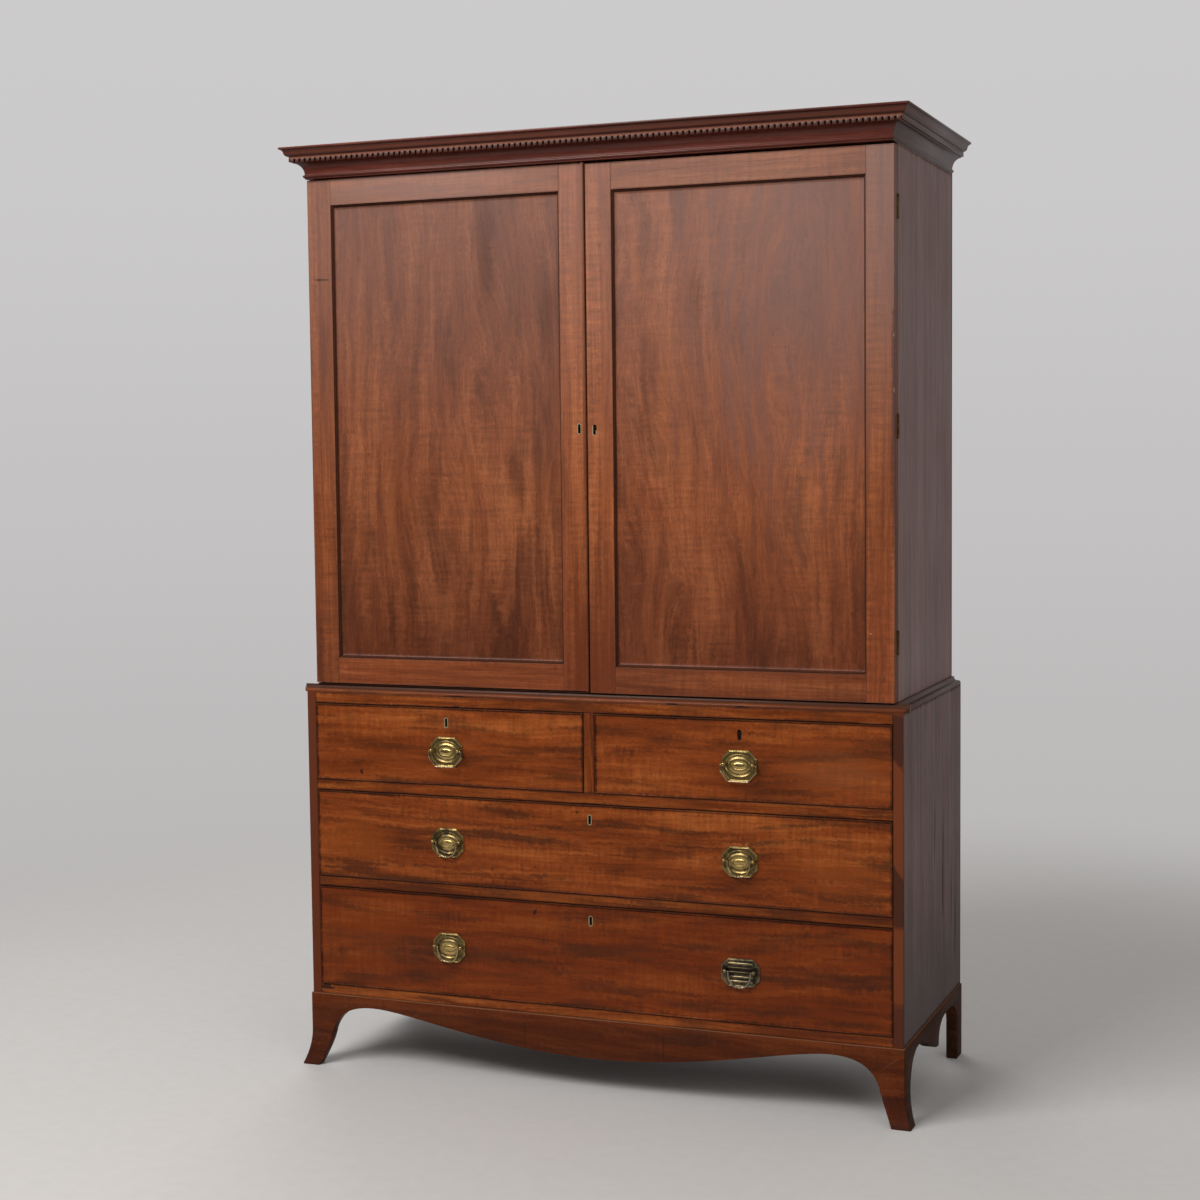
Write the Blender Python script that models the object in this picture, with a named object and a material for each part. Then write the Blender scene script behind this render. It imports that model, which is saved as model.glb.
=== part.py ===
"""Two-part mahogany linen press: panelled cupboard over drawers on splayed bracket feet.

Metres, +Z up, front towards -Y. Pieces are drawn in case coordinates, where x = 0 is the
centre line, y = 0 the front plane of the drawer case and z = 0 the floor. The empty
"press" carries everything and sets the model's origin under the middle of its box.
"""
import math

import bmesh
import bpy
from mathutils import Vector

# Fits
SEAT = 0.0003                     # gap left between pieces that are glued or rest together
MITRE_GAP = 0.0004                # gap along y between mitred lengths
OVERLAP = 0.003                   # how far fused shapes and cutters run into each other

# Drawer case
LOWER_WIDTH = 1.300
CASE_DEPTH = 0.532
SIDE_BOARD = 0.020                # thickness of the carcase sides
BOTTOM_BOARD = 0.0205
LOWER_RAIL = 0.021
UPPER_RAIL = 0.022
TOP_BOARD = 0.022
BOTTOM_DRAWER_OPENING = 0.2155
MIDDLE_DRAWER_OPENING = 0.188
TOP_DRAWER_OPENING = 0.165
RAIL_DEPTH = 0.065                # front-to-back size of the rail in front of a dustboard
DUSTBOARD = 0.010
MUNTIN_WIDTH = 0.023
MUNTIN_DEPTH = 0.045
GUIDE_HEIGHT = 0.018              # drawer guide that runs back from the muntin
BACK_PANEL = 0.010
BACK_REBATE = 0.010               # width of the rebate that the back panels sit in

# Base with splayed feet
BASE_HEIGHT = 0.155
BASE_BOARD = 0.024                # thickness of the apron and brackets
BASE_PROUD = 0.003                # step of the base outside the case
FOOT_SPLAY = 0.016
SPLAY_HEIGHT = 0.075              # the feet curve outwards below this height
TOE_WIDTH = 0.039
KNEE_INSET = 0.051                # inner edge of a front foot where its splay starts
APRON_DROP = 0.072                # height of the apron's lowest point
ARCH_CROWN = 0.024                # wood left above the tops of the arches
ARCH_INSET = 0.148                # top of the arch, from the outer face of the base
BRACKET_ARCH_INSET = 0.125
BRACKET_DROP = 0.080              # height of the drop between the bracket's two arches
BRACKET_DROP_INSET = 0.305        # place of that drop, from the front of the base
REAR_FOOT_WIDTH = 0.047

# Shape of the base's curves: shares of a run at which their handles lie
APRON_SWEEP = (0.47, 0.82)        # from the apron's drop to an arch
KNEE_SWEEP = (0.68, 0.90)         # from an arch to the knee of a front foot
KNEE_RISE = 0.5
DROP_SWEEP = (0.35, 0.70)         # from a bracket's front arch to its drop
CROWN_SWEEP = 0.6                 # from that drop to the crown of the rear arch
HEEL_SWEEP = 0.7                  # from that crown to the rear foot
HEEL_RISE = 0.75
TOE_CURVE = 1.2                   # power by which a foot's inner edge turns out to the toe
APRON_STEPS = 12
CURVE_STEPS = 7
FOOT_STEPS = 6

# Waist moulding between the cases
WAIST_LEDGE = 0.0195              # step of the upper case inside the lower one, at the sides
WAIST_HEIGHT = 0.016
WAIST_LOWER = 0.0077              # height of the rounded lower member
WAIST_OVOLO = 0.006               # how far that member rounds back
WAIST_QUIRK = 0.0014              # flat between the two members
WAIST_TOP_FILLET = 0.005
WAIST_STEP = 0.002

# Cupboard
UPPER_HEIGHT = 1.0845             # top of the drawer case to the underside of the cornice
UPPER_BOARD = 0.020               # thickness of the cupboard's top and bottom
DOOR_SETBACK = 0.009              # door face behind the front plane of the drawer case
DOOR_THICKNESS = 0.025
DOOR_GAP = 0.0012                 # between the backs of the doors and the cupboard
DOOR_HEAD_GAP = 0.0015
DOOR_FOOT_GAP = 0.0015            # below the door that hangs lowest
MEETING_GAP = 0.003
RIGHT_DOOR_DROP = 0.003           # the right door has sunk on its hinges
STILE_WIDTH = 0.055
DOOR_RAIL_WIDTH = 0.054
PANEL_BOARD = 0.007               # panel thickness, and width of the grooves it sits in
GROOVE_DEPTH = 0.009
PANEL_RECESS = 0.009              # panel face behind the face of the frame
PANEL_MOULD_FLAT = 0.00225        # flat on top of the moulding round the panel
PANEL_MOULD_HOLLOW = 0.00675      # width of that moulding's hollow
PANEL_MOULD_HEIGHT = 0.006
ASTRAGAL_WIDTH = 0.006
ASTRAGAL_PROUD = 0.003
RAIL_RADIUS = 0.011               # hanging rail
RAIL_DROP = 0.075                 # rail axis below the inside of the cupboard top
SOCKET_WALL = 0.0042
SOCKET_RIM = 0.0065               # width of a socket's flange outside its cup
SOCKET_LENGTH = 0.016
SOCKET_PLATE = 0.003
SOCKET_SLOPE = 0.0012
RAIL_SEGMENTS = 16

# Hinges
HINGE_HEIGHT = 0.045
HINGE_MARGIN = 0.0032             # wood left between a leaf and the inside of the case
HINGE_LEAF = 0.0012
HINGE_INSET = 0.115               # centre of an end hinge from the end of its door
HINGE_CLEARANCE = 0.0004
KNUCKLE_RADIUS = 0.003
KNUCKLE_OUT = 0.0012              # hinge axis outside the face of the case side
KNUCKLE_GROOVE = 0.00045          # depth of the joints between the knuckles
KNUCKLE_NOTCH = 0.0005            # half width of those joints
FINIAL_HEIGHT = 0.0018
FINIAL_TAPER = 0.7                # share of the radius left at half a finial's height
KNUCKLE_SEGMENTS = 12
CLEARANCE_SEGMENTS = 24

# Cornice
CORNICE_SEAT = 0.018              # width of the cornice on top of the case sides
CORNICE_BEAD = 0.0032             # radius of the bead at the foot of the cornice
BEAD_RISE = 0.0058                # middle of that bead above the foot
COVE_HEIGHT = 0.0235
COVE_PROJECTION = 0.0185
BAND_STEP = 0.002                 # plain strip between the cove and the dentil band
BAND_PROUD = 0.0055
BAND_HEIGHT = 0.0105
CYMA_LEDGE = 0.0032
CYMA_HEIGHT = 0.0145
CYMA_PROJECTION = 0.016
CYMA_SWEEP = ((0.85, 0.25), (0.25, 0.70))
TOP_FILLET = 0.0045
FILLET_STEP = 0.0018
DENTIL_PITCH = 0.01233
DENTIL_WIDTH = 0.0082
DENTIL_DEPTH = 0.0048
DENTIL_HEAD = 0.0030              # plain strip of the band above the dentils
BACKING_HEIGHT = 0.040            # strip behind the front cornice
MOULDING_STEPS = 4
CYMA_STEPS = 6

# Drawers
DRAWER_FRONT = 0.020
DRAWER_SIDE = 0.009
DRAWER_BOTTOM = 0.006
DRAWER_BOTTOM_RISE = 0.008
DRAWER_CLEARANCE = 0.001          # each side of a drawer in its opening
DRAWER_HEAD_GAP = 0.0015
DRAWER_SIDE_DROP = 0.005          # drawer sides stand lower than the front
DRAWER_BACK_SPACE = 0.020
COCKBEAD = 0.0032
COCKBEAD_PROUD = 0.002
COCKBEAD_EASE = 0.0009            # rounding of the bead, along and across
TAIL_LENGTH = 0.012
TAIL_WIDTH = 0.024
TAIL_FLARE = 0.003
TAIL_PITCH = 0.046
KEYHOLE_WIDTH = 0.009
KEYHOLE_HEIGHT = 0.022
KEYHOLE_DEPTH = 0.011
DRAWER_KEYHOLE_DROP = 0.033       # keyhole centre below the top of a drawer opening
DOOR_KEYHOLE_INSET = 0.015        # keyhole centre from the meeting edge
DOOR_KEYHOLE_HEIGHT = 0.532       # keyhole centre above the foot of the door
KEYHOLE_STEPS = 6

# Handles
PLATE_WIDTH = 0.074
PLATE_HEIGHT = 0.062
PLATE_CORNER = 0.0162             # cut of the octagon's corners
PLATE_SHEET = 0.0014
PLATE_EDGE_POINTS = 3
# Stamped rim: share of the outline and relief in thicknesses of the sheet
PLATE_RIM = ((1.0, 0.0), (1.0, 1.0), (0.965, 2.0), (0.90, 2.0), (0.86, 1.0))
# Stamped ovals: half axes as shares of the plate's width and height, and relief
PLATE_OVALS = ((0.350, 0.320, 1.0), (0.328, 0.296, 2.8), (0.265, 0.215, 1.6),
               (0.215, 0.140, 1.2), (0.180, 0.104, 2.3), (0.110, 0.048, 1.8))
REEDED_WIDTH = 0.081              # the odd plate, a later replacement
REEDED_HEIGHT = 0.057
REEDED_CORNER = 0.0145
REED_COUNT = 5
REED_MARGIN = 0.0057              # plain field above and below the reeds
REED_GAP = 0.0032
REED_RELIEF = 0.0031
REED_STEPS = 6
POST_INSET = 0.0068               # post from the end of an octagonal plate
POST_RISE = 0.003                 # posts above the middle of the plate
POST_REACH = 0.0110               # bail axis in front of the drawer front
POST_BALL = 0.0042
POST_NECK = 0.003
POST_COLLAR = 0.0046
COLLAR_LENGTH = 0.0045
POST_SEGMENTS = 12
BAIL_RADIUS = 0.0016
BAIL_SWELL = 0.0007               # extra radius at the middle of a round bail
BAIL_CLEARANCE = 0.00035
BAIL_LEG_GAP = 0.001              # between a bail's legs and the balls of the posts
BAIL_MARGIN = 0.0002              # octagonal bail inside the lower edge of its plate
ROUND_BAIL_DROP = 0.031
ROUND_BAIL_FLAT = 0.0032          # half the straight stretch at the foot of a round bail
ROUND_BAIL_CURVE = (0.8, 0.9)     # powers that make its corners fuller than an ellipse
ROUND_BAIL_STEPS = 8
BAIL_SIDES = 8
TOP_HANDLE_DROP = 0.011           # handle below the middle of its opening
LONG_HANDLE_DROP = 0.005

# Edges flatter than these angles, in degrees, are shaded smooth
SMOOTH_WOOD = 25
SMOOTH_METAL = 45

# Levels and half-widths that follow from the sizes above
HALF = LOWER_WIDTH / 2
LOWER_INSIDE = HALF - SIDE_BOARD
BACK_FACE = CASE_DEPTH - BACK_PANEL
BASE_HALF = HALF + BASE_PROUD
ARCH_HEIGHT = BASE_HEIGHT - ARCH_CROWN
Z_BOTTOM_OPENING = BASE_HEIGHT + BOTTOM_BOARD
Z_LOWER_RAIL = Z_BOTTOM_OPENING + BOTTOM_DRAWER_OPENING
Z_MIDDLE_OPENING = Z_LOWER_RAIL + LOWER_RAIL
Z_UPPER_RAIL = Z_MIDDLE_OPENING + MIDDLE_DRAWER_OPENING
Z_TOP_OPENING = Z_UPPER_RAIL + UPPER_RAIL
Z_TOP_BOARD = Z_TOP_OPENING + TOP_DRAWER_OPENING
LOWER_TOP = Z_TOP_BOARD + TOP_BOARD
UPPER_TOP = LOWER_TOP + UPPER_HEIGHT
UPPER_HALF = HALF - WAIST_LEDGE
UPPER_INSIDE = UPPER_HALF - SIDE_BOARD
DOOR_BACK = DOOR_SETBACK + DOOR_THICKNESS
UPPER_FRONT = DOOR_BACK + DOOR_GAP
DOOR_BOTTOM = LOWER_TOP + WAIST_HEIGHT + DOOR_FOOT_GAP + RIGHT_DOOR_DROP
DOOR_TOP = UPPER_TOP - DOOR_HEAD_GAP
SOCKET_CUP = RAIL_RADIUS + SEAT + SOCKET_WALL
SOCKET_FLANGE = SOCKET_CUP + SOCKET_RIM
HINGE_X = UPPER_HALF + KNUCKLE_OUT
HINGE_Y = DOOR_BACK + DOOR_GAP / 2
HINGE_LEAF_WIDTH = SIDE_BOARD + KNUCKLE_OUT - HINGE_MARGIN
COVE_FOOT = BEAD_RISE + CORNICE_BEAD
COVE_TOP = COVE_FOOT + COVE_HEIGHT
BAND_BOTTOM = COVE_TOP + BAND_STEP
BAND_TOP = BAND_BOTTOM + BAND_HEIGHT
BAND_PROJECTION = COVE_PROJECTION + BAND_PROUD
CORNICE_OVERHANG = BAND_PROJECTION + CYMA_PROJECTION
CORNICE_HEIGHT = BAND_TOP + CYMA_HEIGHT + TOP_FILLET
FRONT_Y = -(CASE_DEPTH - CORNICE_OVERHANG) / 2
HANDLE_X = (LOWER_INSIDE + MUNTIN_WIDTH / 2) / 2
POST_X = PLATE_WIDTH / 2 - POST_INSET
OCTAGON_BAIL_HALF = POST_X + POST_BALL + BAIL_LEG_GAP + BAIL_RADIUS
OCTAGON_BAIL_DROP = PLATE_HEIGHT / 2 + POST_RISE - BAIL_MARGIN
ROUND_BAIL_HALF = POST_X - POST_BALL - BAIL_LEG_GAP - BAIL_RADIUS

# Finishes: linear base colour, roughness, metallic
MAHOGANY = ((0.235, 0.072, 0.027), 0.38, 0.0)
DARK_MAHOGANY = ((0.085, 0.028, 0.019), 0.40, 0.0)
FADED_MAHOGANY = ((0.120, 0.085, 0.072), 0.55, 0.0)
DRAWER_LINING = ((0.40, 0.255, 0.135), 0.70, 0.0)
PINE_BACK = ((0.33, 0.205, 0.105), 0.75, 0.0)
BRASS = ((0.52, 0.36, 0.12), 0.34, 1.0)
BRONZED_BRASS = ((0.16, 0.12, 0.07), 0.42, 1.0)

origins = {}


def clear_scene():
    """Remove every object that the scene starts with."""
    for obj in list(bpy.data.objects):
        bpy.data.objects.remove(obj, do_unlink=True)


def add_material(name, finish):
    """Give one piece its own Principled material."""
    colour, roughness, metallic = finish
    material = bpy.data.materials.new(name + "_finish")
    material.use_nodes = True
    shader = material.node_tree.nodes["Principled BSDF"]
    shader.inputs["Base Color"].default_value = (*colour, 1.0)
    shader.inputs["Roughness"].default_value = roughness
    shader.inputs["Metallic"].default_value = metallic
    material.diffuse_color = (*colour, 1.0)
    return material


def add_pivot(name, at, parent=None):
    """Add an empty at a point of the case; moving pieces hang on such empties."""
    empty = bpy.data.objects.new(name, None)
    bpy.context.collection.objects.link(empty)
    origins[name] = Vector(at)
    empty.parent = parent
    empty.location = origins[name] - (origins[parent.name] if parent else Vector())
    return empty


def add_piece(name, bm, parent, finish=None, origin=None, smooth=None):
    """Turn a bmesh drawn in case coordinates into a named object under its parent."""
    bmesh.ops.recalc_face_normals(bm, faces=bm.faces)
    base = Vector(origin) if origin else origins[parent.name]
    bmesh.ops.translate(bm, verts=bm.verts, vec=-base)
    mesh = bpy.data.meshes.new(name)
    bm.to_mesh(mesh)
    bm.free()
    if smooth:
        mesh.shade_smooth()
        mesh.set_sharp_from_angle(angle=math.radians(smooth))
    obj = bpy.data.objects.new(name, mesh)
    bpy.context.collection.objects.link(obj)
    obj.parent = parent
    obj.location = base - origins[parent.name]
    if finish:
        mesh.materials.append(add_material(name, finish))
    return obj


def combine(target, bm, operation, parent):
    """Fuse a shape with a piece, or cut it away, through a live Boolean modifier."""
    tool = add_piece(target.name + "_" + operation.lower(), bm, parent)
    tool.hide_render = True
    tool.display_type = "WIRE"
    modifier = target.modifiers.new(tool.name, "BOOLEAN")
    modifier.operation = operation
    modifier.object = tool
    modifier.solver = "EXACT"


def add_stack(bm, loops):
    """Skin a row of loops of equal length and close both ends."""
    rows = [[bm.verts.new(point) for point in loop] for loop in loops]
    count = len(rows[0])
    for lower, upper in zip(rows, rows[1:]):
        for i in range(count):
            j = (i + 1) % count
            bm.faces.new((lower[i], lower[j], upper[j], upper[i]))
    bm.faces.new(rows[0][::-1])
    bm.faces.new(rows[-1])


def stack(loops):
    """Return a bmesh skinned over a row of loops."""
    bm = bmesh.new()
    add_stack(bm, loops)
    return bm


def add_prism(bm, outline, axis, start, end):
    """Extrude a flat outline along an axis; its points hold the other two coordinates in order."""
    def place(point, along):
        values = list(point)
        values.insert("xyz".index(axis), along)
        return values
    add_stack(bm, [[place(point, along) for point in outline] for along in (start, end)])


def prism(outline, axis, start, end):
    """Return a bmesh that holds one extruded outline."""
    bm = bmesh.new()
    add_prism(bm, outline, axis, start, end)
    return bm


def add_box(bm, low, high):
    """Add a rectangular block between two corners to a bmesh."""
    outline = [(low[0], low[1]), (high[0], low[1]), (high[0], high[1]), (low[0], high[1])]
    add_prism(bm, outline, "z", low[2], high[2])


def block(low, high):
    """Return a bmesh that holds one rectangular block."""
    bm = bmesh.new()
    add_box(bm, low, high)
    return bm


def lathe(profile, axis, centre, segments):
    """Turn a profile of (radius, distance) pairs about an axis; both ends lie on the axis."""
    first, second = [i for i in range(3) if i != "xyz".index(axis)]
    bm = bmesh.new()

    def place(radius, along, angle):
        point = [0.0, 0.0, 0.0]
        point["xyz".index(axis)] = along
        point[first] = radius * math.cos(angle)
        point[second] = radius * math.sin(angle)
        return Vector(centre) + Vector(point)
    rows = []
    for radius, along in profile:
        steps = segments if radius > 0 else 1
        rows.append([bm.verts.new(place(radius, along, math.tau * i / segments)) for i in range(steps)])
    for lower, upper in zip(rows, rows[1:]):
        for i in range(segments):
            j = (i + 1) % segments
            below = [lower[i % len(lower)], lower[j % len(lower)]]
            above = [upper[j % len(upper)], upper[i % len(upper)]]
            bm.faces.new(list(dict.fromkeys(below + above)))
    return bm


def join(*shapes):
    """Put several bmeshes into one."""
    result = bmesh.new()
    for shape in shapes:
        mesh = bpy.data.meshes.new("joined")
        shape.to_mesh(mesh)
        shape.free()
        result.from_mesh(mesh)
        bpy.data.meshes.remove(mesh)
    return result


def between(start, end, share):
    """Number that lies a share of the way from one number to another."""
    return start + (end - start) * share


def arc(centre, radii, start, end, steps):
    """Points on part of an ellipse, angles in degrees, both ends included."""
    angles = [math.radians(between(start, end, i / steps)) for i in range(steps + 1)]
    return [(centre[0] + radii[0] * math.cos(a), centre[1] + radii[1] * math.sin(a)) for a in angles]


def ring(centre, radius, segments):
    """Points on a whole circle."""
    return arc(centre, (radius, radius), 0, 360, segments)[:-1]


def bezier(start, first, second, end, steps):
    """Points on a cubic curve, without its start point."""
    points = []
    for i in range(1, steps + 1):
        t = i / steps
        weights = ((1 - t) ** 3, 3 * t * (1 - t) ** 2, 3 * t * t * (1 - t), t ** 3)
        pairs = list(zip(weights, (start, first, second, end)))
        points.append((sum(w * p[0] for w, p in pairs), sum(w * p[1] for w, p in pairs)))
    return points


def rectangle(x, z, inset, y):
    """Corners of an upright rectangle, drawn in by an inset."""
    return [(x[0] + inset, y, z[0] + inset), (x[1] - inset, y, z[0] + inset),
            (x[1] - inset, y, z[1] - inset), (x[0] + inset, y, z[1] - inset)]


def keyhole_slot(x, z, face):
    """Cutter for a keyhole, an upright slot with round ends in a face that looks to the front."""
    radius = KEYHOLE_WIDTH / 2
    reach = KEYHOLE_HEIGHT / 2 - radius
    outline = arc((x, z + reach), (radius, radius), 0, 180, KEYHOLE_STEPS)
    outline += arc((x, z - reach), (radius, radius), 180, 360, KEYHOLE_STEPS)
    return prism(outline, "y", face - OVERLAP, face + KEYHOLE_DEPTH)


def case_side(name, side, outer, z, front, press):
    """One carcase side: a board with a rebate for the back panel."""
    inner = outer - SIDE_BOARD
    rebate = BACK_FACE - SEAT
    outline = [(outer, front), (outer, CASE_DEPTH), (inner + BACK_REBATE, CASE_DEPTH),
               (inner + BACK_REBATE, rebate), (inner, rebate), (inner, front)]
    bm = prism([(side * x, y) for x, y in outline], "z", *z)
    return add_piece(name, bm, press, FADED_MAHOGANY)


def back_panel(name, inside, z, press):
    """Back panel that sits in the rebates of two case sides."""
    half = inside + BACK_REBATE - SEAT
    add_piece(name, block((-half, BACK_FACE, z[0]), (half, CASE_DEPTH, z[1])), press, PINE_BACK)


def dustboard(name, z_low, thickness, press):
    """A rail between drawers with the thinner dustboard that runs back from it."""
    z_high = z_low + thickness
    back = BACK_FACE - SEAT
    outline = [(0, z_low), (0, z_high), (back, z_high), (back, z_high - DUSTBOARD),
               (RAIL_DEPTH, z_high - DUSTBOARD), (RAIL_DEPTH, z_low)]
    half = LOWER_INSIDE - SEAT
    add_piece(name, prism(outline, "x", -half, half), press, MAHOGANY)


def build_drawer_case(press):
    """Sides, boards, rails and muntin of the lower case."""
    z = (BASE_HEIGHT + SEAT, LOWER_TOP)
    case_side("lower_left_side", -1, HALF, z, 0.0, press)
    case_side("lower_right_side", 1, HALF, z, 0.0, press)
    back_panel("lower_back_panel", LOWER_INSIDE, z, press)
    half = LOWER_INSIDE - SEAT
    back = BACK_FACE - SEAT
    bottom = block((-half, 0, z[0]), (half, back, Z_BOTTOM_OPENING))
    add_piece("lower_bottom_board", bottom, press, MAHOGANY)
    top = block((-half, 0, Z_TOP_BOARD), (half, back, LOWER_TOP))
    add_piece("lower_top_board", top, press, MAHOGANY)
    dustboard("lower_dustboard", Z_LOWER_RAIL, LOWER_RAIL, press)
    dustboard("upper_dustboard", Z_UPPER_RAIL, UPPER_RAIL, press)
    foot = Z_TOP_OPENING + SEAT
    head = Z_TOP_BOARD - SEAT
    guide = foot + GUIDE_HEIGHT
    outline = [(0, foot), (0, head), (MUNTIN_DEPTH, head), (MUNTIN_DEPTH, guide), (back, guide), (back, foot)]
    muntin = prism(outline, "x", -MUNTIN_WIDTH / 2, MUNTIN_WIDTH / 2)
    add_piece("drawer_muntin", muntin, press, MAHOGANY)


def splay(z):
    """How far a front foot stands out at a height."""
    return FOOT_SPLAY * max(0.0, 1 - z / SPLAY_HEIGHT) ** 2


def foot_inner(outer, z):
    """Inner edge of a front foot at a height, measured along the face of its board."""
    knee = outer - KNEE_INSET
    toe = outer + FOOT_SPLAY - TOE_WIDTH
    return between(knee, toe, (1 - z / SPLAY_HEIGHT) ** TOE_CURVE)


def foot_rows(outer):
    """Four-cornered faces down a front foot, in (distance, height) pairs."""
    levels = [SPLAY_HEIGHT * (1 - i / FOOT_STEPS) for i in range(FOOT_STEPS + 1)]
    rows = []
    for top, low in zip(levels, levels[1:]):
        rows.append([(foot_inner(outer, top), top), (outer + splay(top), top),
                     (outer + splay(low), low), (foot_inner(outer, low), low)])
    return rows


def knee_curve(arch, knee):
    """Curve from the top of an arch down to the knee of a front foot."""
    first = (between(arch[0], knee[0], KNEE_SWEEP[0]), arch[1])
    second = (between(arch[0], knee[0], KNEE_SWEEP[1]), between(knee[1], arch[1], KNEE_RISE))
    return bezier(arch, first, second, knee, CURVE_STEPS)


def board_from_faces(faces, front_point, back_point):
    """Give a sheet of flat faces its thickness, with one mapping for each of its two sides."""
    bm = bmesh.new()
    front = {}
    back = {}
    edges = {}
    for face in faces:
        keys = [(round(u, 6), round(v, 6)) for u, v in face]
        for key, point in zip(keys, face):
            if key not in front:
                front[key] = bm.verts.new(front_point(*point))
                back[key] = bm.verts.new(back_point(*point))
        bm.faces.new([front[key] for key in keys])
        bm.faces.new([back[key] for key in reversed(keys)])
        for pair in zip(keys, keys[1:] + keys[:1]):
            edges[frozenset(pair)] = None if frozenset(pair) in edges else pair
    for pair in edges.values():
        if pair:
            bm.faces.new((front[pair[1]], front[pair[0]], back[pair[0]], back[pair[1]]))
    return bm


def build_apron(press):
    """Shaped front apron with both front feet, splayed forwards and mitred at the ends."""
    drop = (0.0, APRON_DROP)
    arch = (BASE_HALF - ARCH_INSET, ARCH_HEIGHT)
    knee = (BASE_HALF - KNEE_INSET, SPLAY_HEIGHT)
    handles = ((arch[0] * APRON_SWEEP[0], APRON_DROP), (arch[0] * APRON_SWEEP[1], ARCH_HEIGHT))
    right = bezier(drop, *handles, arch, APRON_STEPS) + knee_curve(arch, knee)
    right += [(BASE_HALF, SPLAY_HEIGHT), (BASE_HALF, BASE_HEIGHT)]
    faces = [[drop] + right + [(-x, z) for x, z in reversed(right)]]
    for row in foot_rows(BASE_HALF):
        faces.append(row)
        faces.append([(-x, z) for x, z in row])

    def front_point(x, z):
        return (x, -BASE_PROUD - splay(z), z)

    def back_point(x, z):
        mitred = abs(x) > BASE_HALF + splay(z) - SEAT
        inward = math.copysign(BASE_BOARD, x) if mitred else 0.0
        return (x - inward, BASE_BOARD - BASE_PROUD - splay(z), z)
    bm = board_from_faces(faces, front_point, back_point)
    add_piece("base_apron", bm, press, MAHOGANY, smooth=SMOOTH_WOOD)


def build_bracket(name, side, press):
    """Side of the base: splayed front foot, two arches with a drop between, straight rear foot."""
    outer = BASE_PROUD
    arch = (BRACKET_ARCH_INSET - outer, ARCH_HEIGHT)
    knee = (KNEE_INSET - outer, SPLAY_HEIGHT)
    drop = (BRACKET_DROP_INSET - outer, BRACKET_DROP)
    heel = (CASE_DEPTH - REAR_FOOT_WIDTH, SPLAY_HEIGHT)
    crown = (between(drop[0], heel[0], 0.5), ARCH_HEIGHT)
    outline = knee_curve(arch, knee)[::-1] + [arch]
    outline += bezier(arch, (between(arch[0], drop[0], DROP_SWEEP[0]), ARCH_HEIGHT),
                      (between(arch[0], drop[0], DROP_SWEEP[1]), BRACKET_DROP), drop, CURVE_STEPS)
    outline += bezier(drop, (drop[0], ARCH_HEIGHT),
                      (between(drop[0], crown[0], CROWN_SWEEP), ARCH_HEIGHT), crown, CURVE_STEPS)
    outline += bezier(crown, (between(crown[0], heel[0], HEEL_SWEEP), ARCH_HEIGHT),
                      (heel[0], between(heel[1], ARCH_HEIGHT, HEEL_RISE)), heel, CURVE_STEPS)
    outline += [(heel[0], 0.0), (CASE_DEPTH, 0.0), (CASE_DEPTH, BASE_HEIGHT), (-outer, BASE_HEIGHT),
                (-outer, SPLAY_HEIGHT)]
    faces = [outline] + [[(-y, z) for y, z in row] for row in foot_rows(outer)]

    def lean(y, z):
        return splay(z) if y < drop[0] else 0.0

    def outer_point(y, z):
        return (side * (BASE_HALF + lean(y, z)), y + MITRE_GAP, z)

    def inner_point(y, z):
        inward = BASE_BOARD if y < -outer - splay(z) + SEAT else 0.0
        return (side * (BASE_HALF - BASE_BOARD + lean(y, z)), y + MITRE_GAP + inward, z)
    bm = board_from_faces(faces, outer_point, inner_point)
    for vert in bm.verts:
        vert.co.y = min(vert.co.y, CASE_DEPTH)
    add_piece(name, bm, press, DARK_MAHOGANY, smooth=SMOOTH_WOOD)


def build_waist(press):
    """Moulding on top of the lower case, mitred round the foot of the cupboard."""
    depth = WAIST_LEDGE - SEAT
    shoulder = depth - WAIST_TOP_FILLET
    low = LOWER_TOP + SEAT
    high = low + WAIST_HEIGHT
    middle = low + WAIST_LOWER
    hollow = WAIST_OVOLO + WAIST_QUIRK
    ovolo_radii = (WAIST_OVOLO, WAIST_LOWER - WAIST_STEP)
    hollow_radii = (shoulder - hollow, high - WAIST_STEP - middle)
    profile = [(0.0, low), (0.0, low + WAIST_STEP)]
    profile += arc((WAIST_OVOLO, low + WAIST_STEP), ovolo_radii, 180, 90, MOULDING_STEPS)[1:]
    profile += [(hollow, middle)]
    profile += arc((hollow, high - WAIST_STEP), hollow_radii, 270, 360, MOULDING_STEPS)[1:]
    profile += [(shoulder, high), (depth, high), (depth, low)]
    loops = []
    for side, ends in ((-1, (True, False)), (1, (False, True))):
        for at_back in ends:
            loops.append([(side * (HALF - q), CASE_DEPTH if at_back else q, z) for q, z in profile])
    waist = add_piece("waist_moulding", stack(loops), press, MAHOGANY, smooth=SMOOTH_WOOD)
    strip_half = UPPER_HALF - SEAT
    strip = block((-strip_half, depth - OVERLAP, low), (strip_half, UPPER_FRONT - SEAT, high))
    combine(waist, strip, "UNION", press)


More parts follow.
